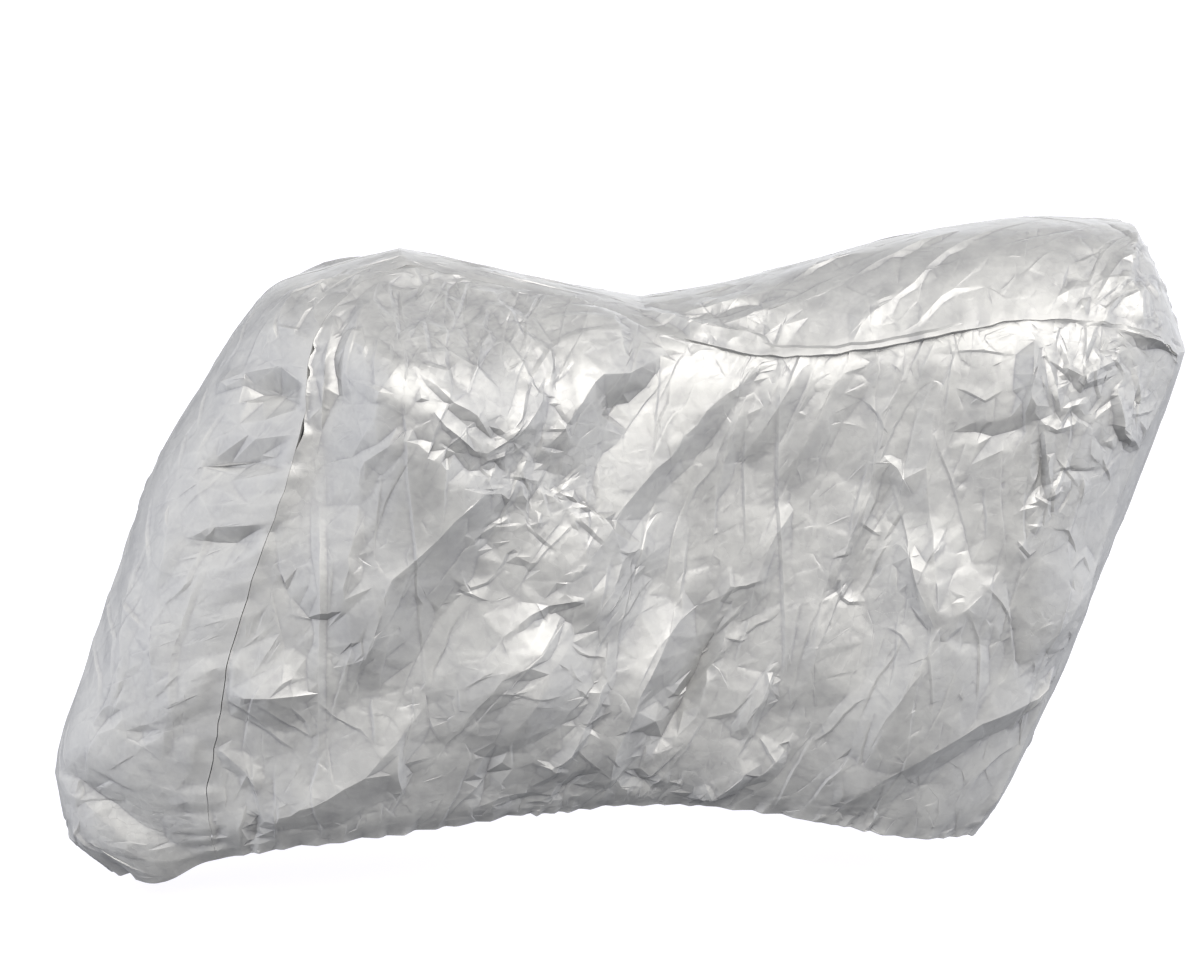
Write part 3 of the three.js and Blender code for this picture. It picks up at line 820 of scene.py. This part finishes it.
def stray_creases(sheet, draw):
    """Thin creases at random: some along the lie of the sheet, and more in the crumpled patches."""
    centres = sheet.fold_place(draw.uniform(0.02, 0.98, (sheet.strays, 2)) * sheet.flat)
    spots = [(centre, STRAY) for centre in centres]
    centres = sheet.fold_place(draw.uniform(0.02, 0.98, (CRINKLES, 2)) * sheet.flat)
    spots += [(centre, CRINKLE) for centre in centres]
    for a, b, radius, more in sheet.patches:
        for _ in range(round(more * radius / PATCH_SPACING)):
            spots.append((np.array([a, b]) + draw.normal(0, 0.55, 2) * radius, PATCHED))
    creases = []
    for centre, kind in spots:
        angle = math.radians(sheet.lie(*centre) + draw.uniform(-kind.turn, kind.turn))
        line = kinked(centre, angle, draw.uniform(*kind.length), draw)
        if draw.random() < 0.5:
            line = line[::-1]
        creases.append(as_crease(draw.uniform(*kind.rise) * draw.choice((-1, 1)), line))
    return creases


def far_from(sites, others, distance):
    """Which sites are at least a distance away from all others."""
    tree = KDTree(len(others))
    for i, other in enumerate(others):
        tree.insert((*other, 0), i)
    tree.balance()
    return np.array([tree.find((*site, 0))[2] > distance for site in sites])


def crumpled(sheet, seed):
    """A crumpled sheet: flat facets between the crests and feet of its folds, broken up into
    smaller ones. Gives the triangles, the sites on the flat sheet and their heights."""
    draw = np.random.default_rng(seed)
    folds = [*sheet.folds, *stray_creases(sheet, draw)]
    crests, joins, feet = fold_sites(folds, draw)
    crests = sheet.find(crests)
    feet = sheet.find(feet)
    far_side = np.array(sheet.flat) - EDGE_MARGIN
    kept = np.all((crests > EDGE_MARGIN) & (crests < far_side), axis=1)
    number = np.where(kept, np.cumsum(kept) - 1, -1)
    joins = number[joins]
    joins = joins[np.all(joins >= 0, axis=1)]
    crests = crests[kept]
    feet = feet[np.all((feet > EDGE_MARGIN) & (feet < far_side), axis=1)]
    feet = feet[far_from(feet, crests, FOOT_CLEAR)]
    edge = rim(*sheet.flat, 0.5 * FACET_PITCH, draw)
    fixed = np.vstack([edge, crests, feet])
    between = scattered(*sheet.flat, FACET_PITCH, draw)
    between = between[far_from(between, fixed, 0.35 * FACET_PITCH)]
    numbers = np.arange(len(edge))
    outline = np.stack([numbers, np.roll(numbers, -1)], -1)
    lines = np.vstack([outline, joins + len(edge)])
    triangles, sites, owner = joined(sheet, np.vstack([fixed, between]), lines)
    heights = total_relief(sheet.fold_place(sites), folds)
    uneven = np.where(owner >= len(fixed), FACET_HEIGHT, 0.1 * FACET_HEIGHT)
    heights += uneven * draw.uniform(-1, 1, len(sites))
    for limit in SPLIT_LIMITS:
        triangles, sites, heights = split_long(triangles, sites, heights, sheet, limit, draw)
    return triangles, sites, heights


def patch_gain(a, b, patches, plain):
    """How strong the crumples are: plain sheet, and more in the crumpled patches."""
    gain = np.full(a.shape, plain)
    for place_a, place_b, radius, more in patches:
        gain = gain + more * np.exp(-((a - place_a) ** 2 + (b - place_b) ** 2) / radius ** 2)
    return gain


def panel_base(u, v):
    """A left panel's plain shape: blended from its four edges and pushed out by the broad forms."""
    u3 = u[..., None]
    v3 = v[..., None]
    hem = spline(HEM_LINE, u * (len(HEM_LINE) - 1))
    lower = SEAM[0] * (1 - u3) + SEAM[LAST] * u3
    upper = SEAM[FRONT_TOP] * (1 - u3) + SEAM[TAIL] * u3
    surface = hem * (1 - v3) - lower * (1 - v3) - upper * v3
    for places, near in (
            (v * FRONT_TOP, 1 - u3),
            (LAST - v * (LAST - TAIL), u3),
            (FRONT_TOP + u * (TAIL - FRONT_TOP), v3)):
        seam = spline(SEAM, places)
        surface += seam * near + (spline(SEAM, places, CORNERS) - seam) * near ** CORNER_POWER
    x = surface[..., 0]
    z = surface[..., 2]
    out = np.zeros_like(x)
    for bulge in BULGES:
        lengthwise = swell(x - bulge.x, np.where(x < bulge.x, bulge.front, bulge.back))
        out += bulge.out * lengthwise * swell(z - bulge.z, np.where(z < bulge.z, bulge.down, bulge.up))
    surface[..., 1] -= out * (1 - np.abs(2 * u - 1) ** EDGE_POWER) * (1 - v ** EDGE_POWER)
    return surface


def strip_base(t, s):
    """The centre strip's plain crown, share -1 at the left seam and 1 at the right."""
    ridge = spline(RIDGE, t, CORNERS)
    seam = spline(SEAM, t, CORNERS)
    drop = np.abs(s) ** CROWN_POWER
    x = ridge[..., 0] + (seam[..., 0] - ridge[..., 0]) * drop
    z = ridge[..., 1] + (seam[..., 2] - ridge[..., 1]) * drop
    z = z - FRONT_SAG * swell(np.abs(s) - SAG_MIDDLE, SAG_REACH) * smooth(1 - t / SAG_STATIONS)
    return np.stack([x, -seam[..., 1] * s, z], -1)


class Sheet:
    """A cut sheet: its flat rectangle in millimetres, and the plain surface that it lies on."""

    def __init__(self, flat, surface):
        self.flat = flat
        self.surface = surface

    def place(self, sites):
        shares = np.clip(sites / self.flat, 0, 1)
        return self.surface(shares[:, 0], shares[:, 1])

    def normal(self, sites):
        step = 2.0
        along = self.place(sites + (step, 0)) - self.place(sites - (step, 0))
        up = self.place(sites + (0, step)) - self.place(sites - (0, step))
        return unit(np.cross(along, up))

    def find(self, targets):
        """Sites on the flat sheet of places given in the folds' coordinates."""
        columns = np.linspace(0, self.flat[0], FIND_GRID[0])
        rows = np.linspace(0, self.flat[1], FIND_GRID[1])
        grid = np.stack(np.meshgrid(columns, rows, indexing="ij"), -1).reshape(-1, 2)
        places = self.fold_place(grid)
        tree = KDTree(len(places))
        for i, place in enumerate(places):
            tree.insert((*place, 0), i)
        tree.balance()
        sites = np.array([grid[tree.find((*target, 0))[1]] for target in targets])
        for _ in range(FIND_STEPS):
            here = self.fold_place(sites)
            across = self.fold_place(sites + (1, 0)) - here
            up = self.fold_place(sites + (0, 1)) - here
            miss = targets - here
            det = across[:, 0] * up[:, 1] - across[:, 1] * up[:, 0]
            det = np.where(np.abs(det) < 1e-6, 1e-6, det)
            move = np.stack([
                miss[:, 0] * up[:, 1] - miss[:, 1] * up[:, 0],
                across[:, 0] * miss[:, 1] - across[:, 1] * miss[:, 0]], -1) / det[:, None]
            sites = sites + np.clip(move, -FIND_MOVE, FIND_MOVE)
        return sites


def displaced(places):
    """Places of the left panel's folds, moved to where the right panel has them."""
    along, up = RIGHT_WAVES
    x, z = np.asarray(places, float).T
    return np.stack([x + along.size * np.sin(z / along.length), z + up.size * np.sin(x / up.length)], -1)


def panel_sheet(right):
    """A left panel as a sheet, with its folds, or a right one before it is mirrored."""
    width, height = PANEL_FLAT
    sheet = Sheet((width, height), panel_base)
    moved = displaced if right else np.array
    kept = [fold for i, fold in enumerate(LEFT_FOLDS) if not right or i % LEFT_OUT]
    sheet.folds = []
    for fold in kept:
        crest = np.array(fold.crest, float)
        if right and len(crest) > LONG_CREST:
            crest = crest[:-1]
        sheet.folds.append(as_fold(FOLD_GAIN * fold.rise, fold.lead, moved(crest[:, :2]), crest[:, 2]))
    sheet.fold_place = lambda sites: sheet.place(sites)[:, [0, 2]]
    lines = dark_lees(sheet, [moved(np.reshape(crease.line, (-1, 2))) for crease in LEFT_CREASES])
    sheet.folds += [as_crease(crease.rise, line) for crease, line in zip(LEFT_CREASES, lines)]
    middles = moved([(patch.x, patch.z) for patch in LEFT_PATCHES])
    sheet.patches = [(*middle, patch.radius, patch.more) for middle, patch in zip(middles, LEFT_PATCHES)]
    sheet.gain = lambda sites: patch_gain(*sheet.fold_place(sites).T, sheet.patches, 1.0)
    sheet.strays = PANEL_STRAYS
    sheet.middle = 0
    sheet.width_at = lambda u: np.ones_like(u)
    lie = as_points(PANEL_LIE, "x", "angle").T
    sheet.lie = lambda x, z: np.interp(x, *lie)
    sheet.seams = table("axis high station mirror", [
        (0, False, lambda sites: sites[:, 1] / height * FRONT_TOP, False),
        (0, True, lambda sites: LAST - sites[:, 1] / height * (LAST - TAIL), False),
        (1, True, lambda sites: FRONT_TOP + sites[:, 0] / width * (TAIL - FRONT_TOP), False),
    ])
    sheet.hems = table("axis high", [(1, False)])
    sheet.slits = SLITS
    sheet.lips = TUCKS
    return sheet


def strip_sheet():
    """The centre strip as a sheet, with its folds."""
    places = np.linspace(0, LAST, STRIP_STEPS)
    middle = strip_base(places, np.full(STRIP_STEPS, -0.5))
    walked = np.concatenate([[0], np.cumsum(np.linalg.norm(np.diff(middle, axis=0), axis=1))])
    length = walked[-1]
    half = STRIP_HALF_WIDTH

    def surface(u, v):
        return strip_base(np.interp(u * length, walked, places), 2 * v - 1)

    sheet = Sheet((length, 2 * half), surface)

    def flat_place(station, share):
        return float(np.interp(station, places, walked)), (share + 1) * half

    def station_at(sites):
        return np.interp(sites[:, 0], walked, places)

    sheet.folds = []
    for fold in STRIP_FOLDS:
        crest = [flat_place(station, share) for station, share, _ in fold.crest]
        lee = [reach for _, _, reach in fold.crest]
        sheet.folds.append(as_fold(STRIP_GAIN * fold.rise, fold.lead, crest, lee))
    sheet.folds += [
        as_crease(crease.rise, [flat_place(*place) for place in np.reshape(crease.line, (-1, 2))])
        for crease in STRIP_CREASES]
    sheet.fold_place = lambda sites: sites
    sheet.patches = [(*flat_place(patch.t, patch.s), patch.radius, patch.more) for patch in STRIP_PATCHES]
    sheet.gain = lambda sites: patch_gain(*sites.T, sheet.patches, 1.0)
    sheet.strays = STRIP_STRAYS
    sheet.middle = half
    seam = strip_base(places, np.full(STRIP_STEPS, -1.0))
    ridge = strip_base(places, np.zeros(STRIP_STEPS))
    widths = np.linalg.norm(seam - ridge, axis=1) / half
    sheet.width_at = lambda u: np.interp(u, walked, widths)
    lie = as_points(STRIP_LIE, "t", "angle").T
    sheet.lie = lambda u, v: np.interp(np.interp(u, walked, places), *lie) * (1 if v < half else -1)
    sheet.seams = table("axis high station mirror", [
        (1, False, station_at, False),
        (1, True, station_at, True),
    ])
    sheet.hems = table("axis high", [(0, False), (0, True)])
    sheet.slits = []
    sheet.lips = LIPS
    return sheet


def seam_waver(stations):
    """How far the left seam wanders from its smooth line, the same for both of its sheets."""
    draw = np.random.default_rng(SEAM_SEED)
    knots = np.linspace(0, LAST, SEAM_KNOTS)
    shifts = draw.uniform(-1, 1, (SEAM_KNOTS, 3)) * SEAM_WAVER
    return np.stack([np.interp(stations, knots, shifts[:, axis]) for axis in range(3)], -1)


def from_side(sheet, sites, side):
    """Distance from one side of the flat sheet, and the step that leads away from it."""
    step = np.zeros(2)
    step[side.axis] = -6.0 if side.high else 6.0
    across = sites[:, side.axis]
    return (sheet.flat[side.axis] - across if side.high else across), step


def seamed(sheet, sites, base, normal):
    """How far the sheet is shifted along its seams: they waver, gape here and there, or hang over."""
    shift = np.zeros_like(base)
    for seam in sheet.seams:
        distance, step = from_side(sheet, sites, seam)
        stations = seam.station(sites)
        near = np.exp(-((distance / SEAM_REACH) ** 2))[:, None]
        shift += near * seam_waver(stations) * (1, -1 if seam.mirror else 1, 1)
        into = unit(sheet.place(sites + step) - base)
        shift += near * into * np.interp(stations, *as_points(SEAM_GAPS, "t", "gap").T)[:, None]
        for slit in sheet.slits:
            shift += near * into * (slit.gap * swell(stations - slit.t, slit.reach))[:, None]
        for lip in sheet.lips:
            size = swell(stations - lip.t, lip.reach)[:, None] * (RIGHT_LIP if seam.mirror else 1)
            shift += near * size * (lip.out * normal - lip.over * into)
    return shift


def gathered(sheet, sites, seed):
    """Height of the small gathers where a cord draws the hems in."""
    draw = np.random.default_rng(seed + GATHER_SEED)
    heights = np.zeros(len(sites))
    for hem in sheet.hems:
        distance, _ = from_side(sheet, sites, hem)
        along = sites[:, 1 - hem.axis]
        count = int(sheet.flat[1 - hem.axis] / GATHER_COUNT_PITCH)
        knots = np.cumsum(draw.uniform(*GATHER_PITCH, count))
        rises = draw.uniform(*GATHER_SHARE, count) * np.where(np.arange(count) % 2, 1, -1)
        reach = np.interp(along, knots, draw.uniform(*GATHER_REACH, count))
        heights += GATHER_RISE * np.interp(along, knots, rises) * np.exp(-distance / reach)
    return heights


def turned_in(sheet, sites, base, points, normal, triangles):
    """Turns the edges in along the seams, and rolls the hems under."""
    turn = bpy.context.scene.cover_sizes.seam_turn / MM
    edges = [(seam, [(turn, 0.1 * turn)]) for seam in sheet.seams]
    edges += [(hem, [(roll.inward, roll.up) for roll in HEM_ROLL]) for hem in sheet.hems]
    for side, rows in edges:
        distance, step = from_side(sheet, sites, side)
        edge = np.flatnonzero(distance < 1e-6)
        edge = edge[np.argsort(sites[edge, 1 - side.axis])]
        away = unit(sheet.place(sites[edge] + step) - base[edge])
        last = edge
        for inward, up in rows:
            new = len(points) + np.arange(len(edge))
            points = np.vstack([points, points[edge] - normal[edge] * inward + away * up])
            a, b, c, d = last[:-1], last[1:], new[1:], new[:-1]
            if side.high == (side.axis == 0):
                a, b, c, d = b, a, d, c
            triangles = np.vstack([triangles, np.stack([a, b, c], 1), np.stack([a, c, d], 1)])
            last = new
    return points, triangles


def worked(sheet, seed):
    """A finished sheet: crumpled, seamed and hemmed. Gives its points, its triangles and how much
    each point is crumpled."""
    triangles, sites, heights = crumpled(sheet, seed)
    normal = sheet.normal(sites)
    base = sheet.place(sites)
    to_seam = np.min([from_side(sheet, sites, seam)[0] for seam in sheet.seams], axis=0)
    gathers = gathered(sheet, sites, seed) * smooth(to_seam / GATHER_FADE)
    heights = heights * smooth(to_seam / FOLD_FADE) + gathers
    points = base + normal * heights[:, None] + seamed(sheet, sites, base, normal)
    points, triangles = turned_in(sheet, sites, base, points, normal, triangles)
    crumple = np.zeros(len(points))
    crumple[:len(sites)] = sheet.gain(sites) - 1
    return points, triangles, crumple


def mark_crease_shade_and_wear(mesh, points, triangles):
    """Marks how sharply the sheet bends: above 0 on crests, below 0 in furrows. From it the material paints
    shade into the furrows and lightens the crests, partly as rubbed coat and partly as painted highlight.
    """
    edges = np.unique(edge_pairs(triangles), axis=0)
    normals = np.empty(len(points) * 3, np.float32)
    mesh.vertices.foreach_get("normal", normals)
    normals = normals.reshape(-1, 3)
    bend = np.zeros(len(points))
    weight = np.zeros(len(points))
    for here, there in (edges.T, edges.T[::-1]):
        way = points[there] - points[here]
        np.add.at(bend, here, -np.sum(way * normals[here], axis=1))
        np.add.at(weight, here, np.linalg.norm(way, axis=1))
    # Painted shade for the furrows, and lightening for the crests that is partly rubbed coat and partly
    # painted highlight
    painted_crease_shade_and_wear = np.clip(bend / np.maximum(weight, 1e-9) / FULL_BEND, *CREASE_SHADE_AND_WEAR_LIMITS)
    mesh.attributes.new("painted_crease_shade_and_wear", "FLOAT", "POINT").data.foreach_set("value", painted_crease_shade_and_wear.astype(np.float32))


def sheet_mesh(name, points, triangles, crumple, flip):
    """A mesh from points in millimetres above the ground."""
    points = points * MM
    points[:, 2] -= bpy.context.scene.cover_sizes.saddle_height
    if flip:
        triangles = triangles[:, ::-1]
    mesh = bpy.data.meshes.new(name)
    mesh.vertices.add(len(points))
    mesh.vertices.foreach_set("co", points.astype(np.float32).ravel())
    mesh.loops.add(triangles.size)
    mesh.loops.foreach_set("vertex_index", triangles.astype(np.int32).ravel())
    mesh.polygons.add(len(triangles))
    mesh.polygons.foreach_set("loop_start", np.arange(0, triangles.size, 3, dtype=np.int32))
    mesh.polygons.foreach_set("use_smooth", np.ones(len(triangles), bool))
    mesh.update(calc_edges=True)
    mesh.validate()
    mesh.set_sharp_from_angle(angle=math.radians(SHARP_ANGLE))
    mark_crease_shade_and_wear(mesh, points, triangles)
    mesh.attributes.new("crumple", "FLOAT", "POINT").data.foreach_set("value", crumple.astype(np.float32))
    piece = bpy.data.objects.new(name, mesh)
    bpy.context.scene.collection.objects.link(piece)
    return piece


def linear(colour):
    """An sRGB hex colour as linear red, green, blue and alpha."""
    channels = [int(colour[i:i + 2], 16) / 255 for i in (1, 3, 5)]
    bent = [c / 12.92 if c <= 0.04045 else ((c + 0.055) / 1.055) ** 2.4 for c in channels]
    return (*bent, 1.0)


def add_node(tree, kind, settings=None, inputs=None):
    """Adds a node: settings by attribute, inputs by socket, each a value or an output to link."""
    node = tree.nodes.new(kind)
    for key, value in (settings or {}).items():
        setattr(node, key, value)
    for key, value in (inputs or {}).items():
        if isinstance(value, bpy.types.NodeSocket):
            tree.links.new(value, node.inputs[key])
        else:
            node.inputs[key].default_value = value
    return node


def silver_sheet():
    """Woven sheet with a rolled-on aluminium-pigment coat. The flakes give a broad, metallic
    sheen that turns facets light or grey, and the handling leaves a fine crumple in the coat."""
    name = "silver_coated_sheet_rolled"
    if name in bpy.data.materials:
        return bpy.data.materials[name]
    finish = bpy.context.scene.cover_finish
    material = bpy.data.materials.new(name)
    material.use_nodes = True
    tree = material.node_tree
    tree.nodes.clear()
    places = add_node(tree, "ShaderNodeTexCoord").outputs["Object"]
    cloud_size = 0.060  # clouds of fuller and thinner coat
    crease_shade_share = 0.35  # how far the painted shade in the furrows and the lighter crests, partly rubbed coat and partly painted highlight, show against the clouds
    cloud = add_node(tree, "ShaderNodeTexNoise", inputs={
        "Vector": places, "Scale": 1 / cloud_size, "Detail": 5.0, "Roughness": 0.6})
    painted_crease_shade_and_wear = add_node(tree, "ShaderNodeAttribute", {"attribute_name": "painted_crease_shade_and_wear"}).outputs["Fac"]
    # Painted shade and highlight: on top of its clouds, the coat is mixed towards its dark colour in furrows
    # and towards its light one on crests, by how sharply the sheet bends
    cloud_and_crease_shade = add_node(tree, "ShaderNodeMath", {"operation": "MULTIPLY_ADD"}, {
        0: painted_crease_shade_and_wear, 1: crease_shade_share, 2: cloud.outputs["Fac"]}).outputs["Value"]
    colour = add_node(tree, "ShaderNodeMix", {"data_type": "RGBA"}, {
        "Factor": cloud_and_crease_shade, "A": linear(finish.coat_dark), "B": linear(finish.coat_light)})
    gloss = add_node(tree, "ShaderNodeMapRange", inputs={
        "Value": cloud.outputs["Fac"], "From Min": 0.3, "From Max": 0.7, "To Min": 0.46, "To Max": 0.59})
    crumple = add_node(tree, "ShaderNodeAttribute", {"attribute_name": "crumple"}).outputs["Fac"]
    depth = add_node(tree, "ShaderNodeMapRange", inputs={
        "Value": crumple, "From Min": 0.0, "From Max": 0.9, "To Min": 0.25, "To Max": 0.9}).outputs["Result"]
    # Small flat facets between the creases of the mesh. Real ones are a few millimetres wide, too fine
    # to show, so they are drawn coarser
    facet_size = 0.022
    facet_depth = 0.17
    facets = add_node(tree, "ShaderNodeTexVoronoi", inputs={
        "Vector": places, "Scale": 1 / facet_size}).outputs
    from_middle = add_node(tree, "ShaderNodeVectorMath", {"operation": "SUBTRACT"}, {
        0: places, 1: facets["Position"]}).outputs["Vector"]
    lean = add_node(tree, "ShaderNodeVectorMath", {"operation": "SUBTRACT"}, {
        0: facets["Color"], 1: (0.5, 0.5, 0.5)}).outputs["Vector"]
    relief = add_node(tree, "ShaderNodeVectorMath", {"operation": "DOT_PRODUCT"}, {
        0: from_middle, 1: lean}).outputs["Value"]
    bump = add_node(tree, "ShaderNodeBump", inputs={
        "Height": relief, "Strength": depth, "Distance": facet_depth})
    shader = add_node(tree, "ShaderNodeBsdfPrincipled", inputs={
        "Base Color": colour.outputs["Result"], "Metallic": finish.metallic,
        "Roughness": gloss.outputs["Result"], "Normal": bump.outputs["Normal"]})
    add_node(tree, "ShaderNodeOutputMaterial", inputs={"Surface": shader.outputs["BSDF"]})
    return material


def floor_paper():
    """Matt seamless paper: pale and even, with no gloss."""
    material = bpy.data.materials.new("seamless_paper_matt")
    material.use_nodes = True
    stage = bpy.context.scene.cover_stage
    shader = material.node_tree.nodes["Principled BSDF"]
    shader.inputs["Base Color"].default_value = linear(stage.floor_colour)
    shader.inputs["Roughness"].default_value = 0.9
    shader.inputs["Specular IOR Level"].default_value = 0.0
    shader.inputs["Emission Color"].default_value = linear(stage.floor_glow_colour)
    shader.inputs["Emission Strength"].default_value = stage.floor_glow
    return material


def studio_world():
    """Soft light from all sides, stronger from above than from below."""
    stage = bpy.context.scene.cover_stage
    world = bpy.data.worlds.new("studio")
    world.use_nodes = True
    tree = world.node_tree
    way = add_node(tree, "ShaderNodeTexCoord").outputs["Generated"]
    parts = add_node(tree, "ShaderNodeSeparateXYZ", inputs={0: way}).outputs
    height = add_node(tree, "ShaderNodeMapRange", inputs={
        "Value": parts["Z"], "From Min": -0.6, "From Max": 0.8,
        "To Min": stage.low_fill, "To Max": stage.high_fill}).outputs["Result"]
    aside = add_node(tree, "ShaderNodeMath", {"operation": "MULTIPLY"}, {
        0: parts["X"], 1: parts["X"]}).outputs["Value"]
    share = add_node(tree, "ShaderNodeMath", {"operation": "MULTIPLY_ADD"}, {
        0: aside, 1: stage.side_fill, 2: height}).outputs["Value"]
    sky = tree.nodes["Background"]
    sky.inputs["Color"].default_value = linear("#F1F3FA")
    tree.links.new(share, sky.inputs["Strength"])
    return world


class CoverSizes(bpy.types.PropertyGroup):
    """Sizes of the cover and of its mesh."""

    saddle_height: FloatProperty(
        name="Saddle height", description="Height of the packed model's origin above the ground",
        default=1.178, unit="LENGTH")
    seam_turn: FloatProperty(
        name="Seam turn", description="Depth to which an edge is turned in at a seam",
        default=0.009, unit="LENGTH")


class CoverFinish(bpy.types.PropertyGroup):
    """Colours and gloss of the coated sheet."""

    # Furrows are mixed towards the dark colour as painted shade. Crests are mixed towards the light one,
    # partly as rubbed coat and partly as painted highlight
    coat_light: StringProperty(
        name="Coat, light", description="sRGB colour of the fuller coat", default="#B2B2B0")
    coat_dark: StringProperty(
        name="Coat, dark", description="sRGB colour of the rubbed coat", default="#8C8C8E")
    metallic: FloatProperty(
        name="Metallic", description="Share of metal flake in the coat", default=0.45, subtype="FACTOR")


class CoverStage(bpy.types.PropertyGroup):
    """Floor, light and camera."""

    floor_colour: StringProperty(
        name="Floor", description="sRGB colour of the floor", default="#7C7C7E")
    floor_glow_colour: StringProperty(
        name="Floor glow", description="sRGB colour of the light table under the floor", default="#F4F3FB")
    floor_glow: FloatProperty(
        name="Floor glow strength", description="Strength of the light table under the floor", default=1.0)
    floor_radius: FloatProperty(
        name="Floor radius", description="Radius of the floor", default=150.0, unit="LENGTH")
    key_strength: FloatProperty(
        name="Key light", description="Strength of the broad light above the cover", default=4.9)
    key_from: FloatVectorProperty(
        name="Key direction", description="Where the key light stands, seen from the cover",
        default=(0.09, -0.76, 0.64), subtype="DIRECTION")
    light_spread: FloatProperty(
        name="Light spread", description="How broad the key and back lights look",
        default=math.radians(52), subtype="ANGLE")
    back_strength: FloatProperty(
        name="Back light", description="Strength of the light from behind", default=1.6)
    back_from: FloatVectorProperty(
        name="Back direction", description="Where the back light stands, seen from the cover",
        default=(0.20, 0.96, 0.15), subtype="DIRECTION")
    low_fill: FloatProperty(
        name="Low fill", description="Strength of the soft light from below", default=0.07)
    high_fill: FloatProperty(
        name="High fill", description="Strength of the soft light from above", default=0.27)
    side_fill: FloatProperty(
        name="Side fill", description="Strength of the soft light from the two ends", default=2.0)
    azimuth: FloatProperty(
        name="Azimuth", description="The camera's turn about the cover",
        default=math.radians(-4), subtype="ANGLE")
    elevation: FloatProperty(
        name="Elevation", description="The camera's angle above the level",
        default=math.radians(12.5), subtype="ANGLE")
    distance: FloatProperty(
        name="Distance", description="From the camera to the point it looks at", default=9.0, unit="LENGTH")
    aim: FloatVectorProperty(
        name="Aim", description="Point that the camera looks at", default=(-0.039, 0.0, -0.360),
        subtype="TRANSLATION", unit="LENGTH")
    lens: FloatProperty(
        name="Lens", description="Focal length in millimetres on a 36 mm sensor", default=138.45)


def dressed(piece, node):
    """Finishes a sheet: gives it its material, hangs it on the root body and hides the model's part at its
    node.
    """
    piece.data.materials.append(silver_sheet())
    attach(piece, "root")
    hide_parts(node)


def sewn_panel(name, seed, right):
    """A side panel as a mesh. The right one is worked as a left one and mirrored."""
    points, triangles, crumple = worked(panel_sheet(right), seed)
    if right:
        points = points * (1, -1, 1)
    return sheet_mesh(name, points, triangles, crumple, right)


class COVER_OT_left_panel(bpy.types.Operator):
    """Cut and crumple the left side panel"""

    bl_idname = "cover.left_panel"
    bl_label = "Left side panel"

    def execute(self, context):
        piece = sewn_panel("left_panel", 1, False)
        dressed(piece, "side_panel_left")
        return {"FINISHED"}


class COVER_OT_right_panel(bpy.types.Operator):
    """Cut and crumple the right side panel"""

    bl_idname = "cover.right_panel"
    bl_label = "Right side panel"

    def execute(self, context):
        piece = sewn_panel("right_panel", 2, True)
        dressed(piece, "side_panel_right")
        return {"FINISHED"}


class COVER_OT_centre_strip(bpy.types.Operator):
    """Cut and crumple the centre strip"""

    bl_idname = "cover.centre_strip"
    bl_label = "Centre strip"

    def execute(self, context):
        piece = sheet_mesh("centre_strip_sheet", *worked(strip_sheet(), 3), False)
        dressed(piece, "centre_strip")
        return {"FINISHED"}


class COVER_OT_stage(bpy.types.Operator):
    """Set the floor, the light and the camera"""

    bl_idname = "cover.stage"
    bl_label = "Stage"

    def execute(self, context):
        scene = context.scene
        stage = scene.cover_stage
        scene.view_settings.view_transform = "Standard"
        ground = -scene.cover_sizes.saddle_height
        bpy.ops.mesh.primitive_circle_add(
            vertices=96, radius=stage.floor_radius, fill_type="NGON", location=(0, 0, ground))
        floor = context.object
        floor.name = "floor"
        floor.data.materials.append(floor_paper())
        floor.visible_diffuse = False
        floor.visible_glossy = False
        scene.world = studio_world()
        for name, direction, strength, colour in (
                ("key", stage.key_from, stage.key_strength, "#FFFCF6"),
                ("back", stage.back_from, stage.back_strength, "#FBFCFF")):
            light = bpy.data.lights.new(name, "SUN")
            light.energy = strength
            light.angle = stage.light_spread
            light.color = linear(colour)[:3]
            lamp = bpy.data.objects.new(name, light)
            lamp.location = 3 * Vector(direction)
            lamp.rotation_euler = Vector(direction).to_track_quat("Z", "Y").to_euler()
            scene.collection.objects.link(lamp)
        lens = bpy.data.cameras.new("camera")
        lens.lens = stage.lens
        lens.sensor_width = 36
        lens.clip_end = 400
        camera = bpy.data.objects.new("camera", lens)
        level = math.cos(stage.elevation)
        back = Vector((
            math.sin(stage.azimuth) * level, -math.cos(stage.azimuth) * level, math.sin(stage.elevation)))
        camera.location = Vector(stage.aim) + stage.distance * back
        camera.rotation_euler = back.to_track_quat("Z", "Y").to_euler()
        scene.collection.objects.link(camera)
        scene.camera = camera
        return {"FINISHED"}


class COVER_PT_sidebar(bpy.types.Panel):
    """Lists the cover's pieces and their settings"""

    bl_idname = "COVER_PT_sidebar"
    bl_label = "Cover"
    bl_space_type = "VIEW_3D"
    bl_region_type = "UI"
    bl_category = "Cover"

    def draw(self, context):
        for operator in OPERATORS:
            self.layout.operator(operator.bl_idname)
        for group in ("cover_sizes", "cover_finish", "cover_stage"):
            settings = getattr(context.scene, group)
            box = self.layout.box()
            for key in settings.__annotations__:
                box.prop(settings, key)


OPERATORS = (COVER_OT_left_panel, COVER_OT_right_panel, COVER_OT_centre_strip, COVER_OT_stage)
GROUPS = {"cover_sizes": CoverSizes, "cover_finish": CoverFinish, "cover_stage": CoverStage}
CLASSES = (*GROUPS.values(), *OPERATORS, COVER_PT_sidebar)


def register():
    for cls in CLASSES:
        bpy.utils.register_class(cls)
    for name, group in GROUPS.items():
        setattr(bpy.types.Scene, name, PointerProperty(type=group))


def unregister():
    for name in GROUPS:
        delattr(bpy.types.Scene, name)
    for cls in reversed(CLASSES):
        bpy.utils.unregister_class(cls)


def main():
    register()
    bpy.ops.cover.left_panel()
    bpy.ops.cover.right_panel()
    bpy.ops.cover.centre_strip()
    bpy.ops.cover.stage()


if __name__ == "__main__":
    main()
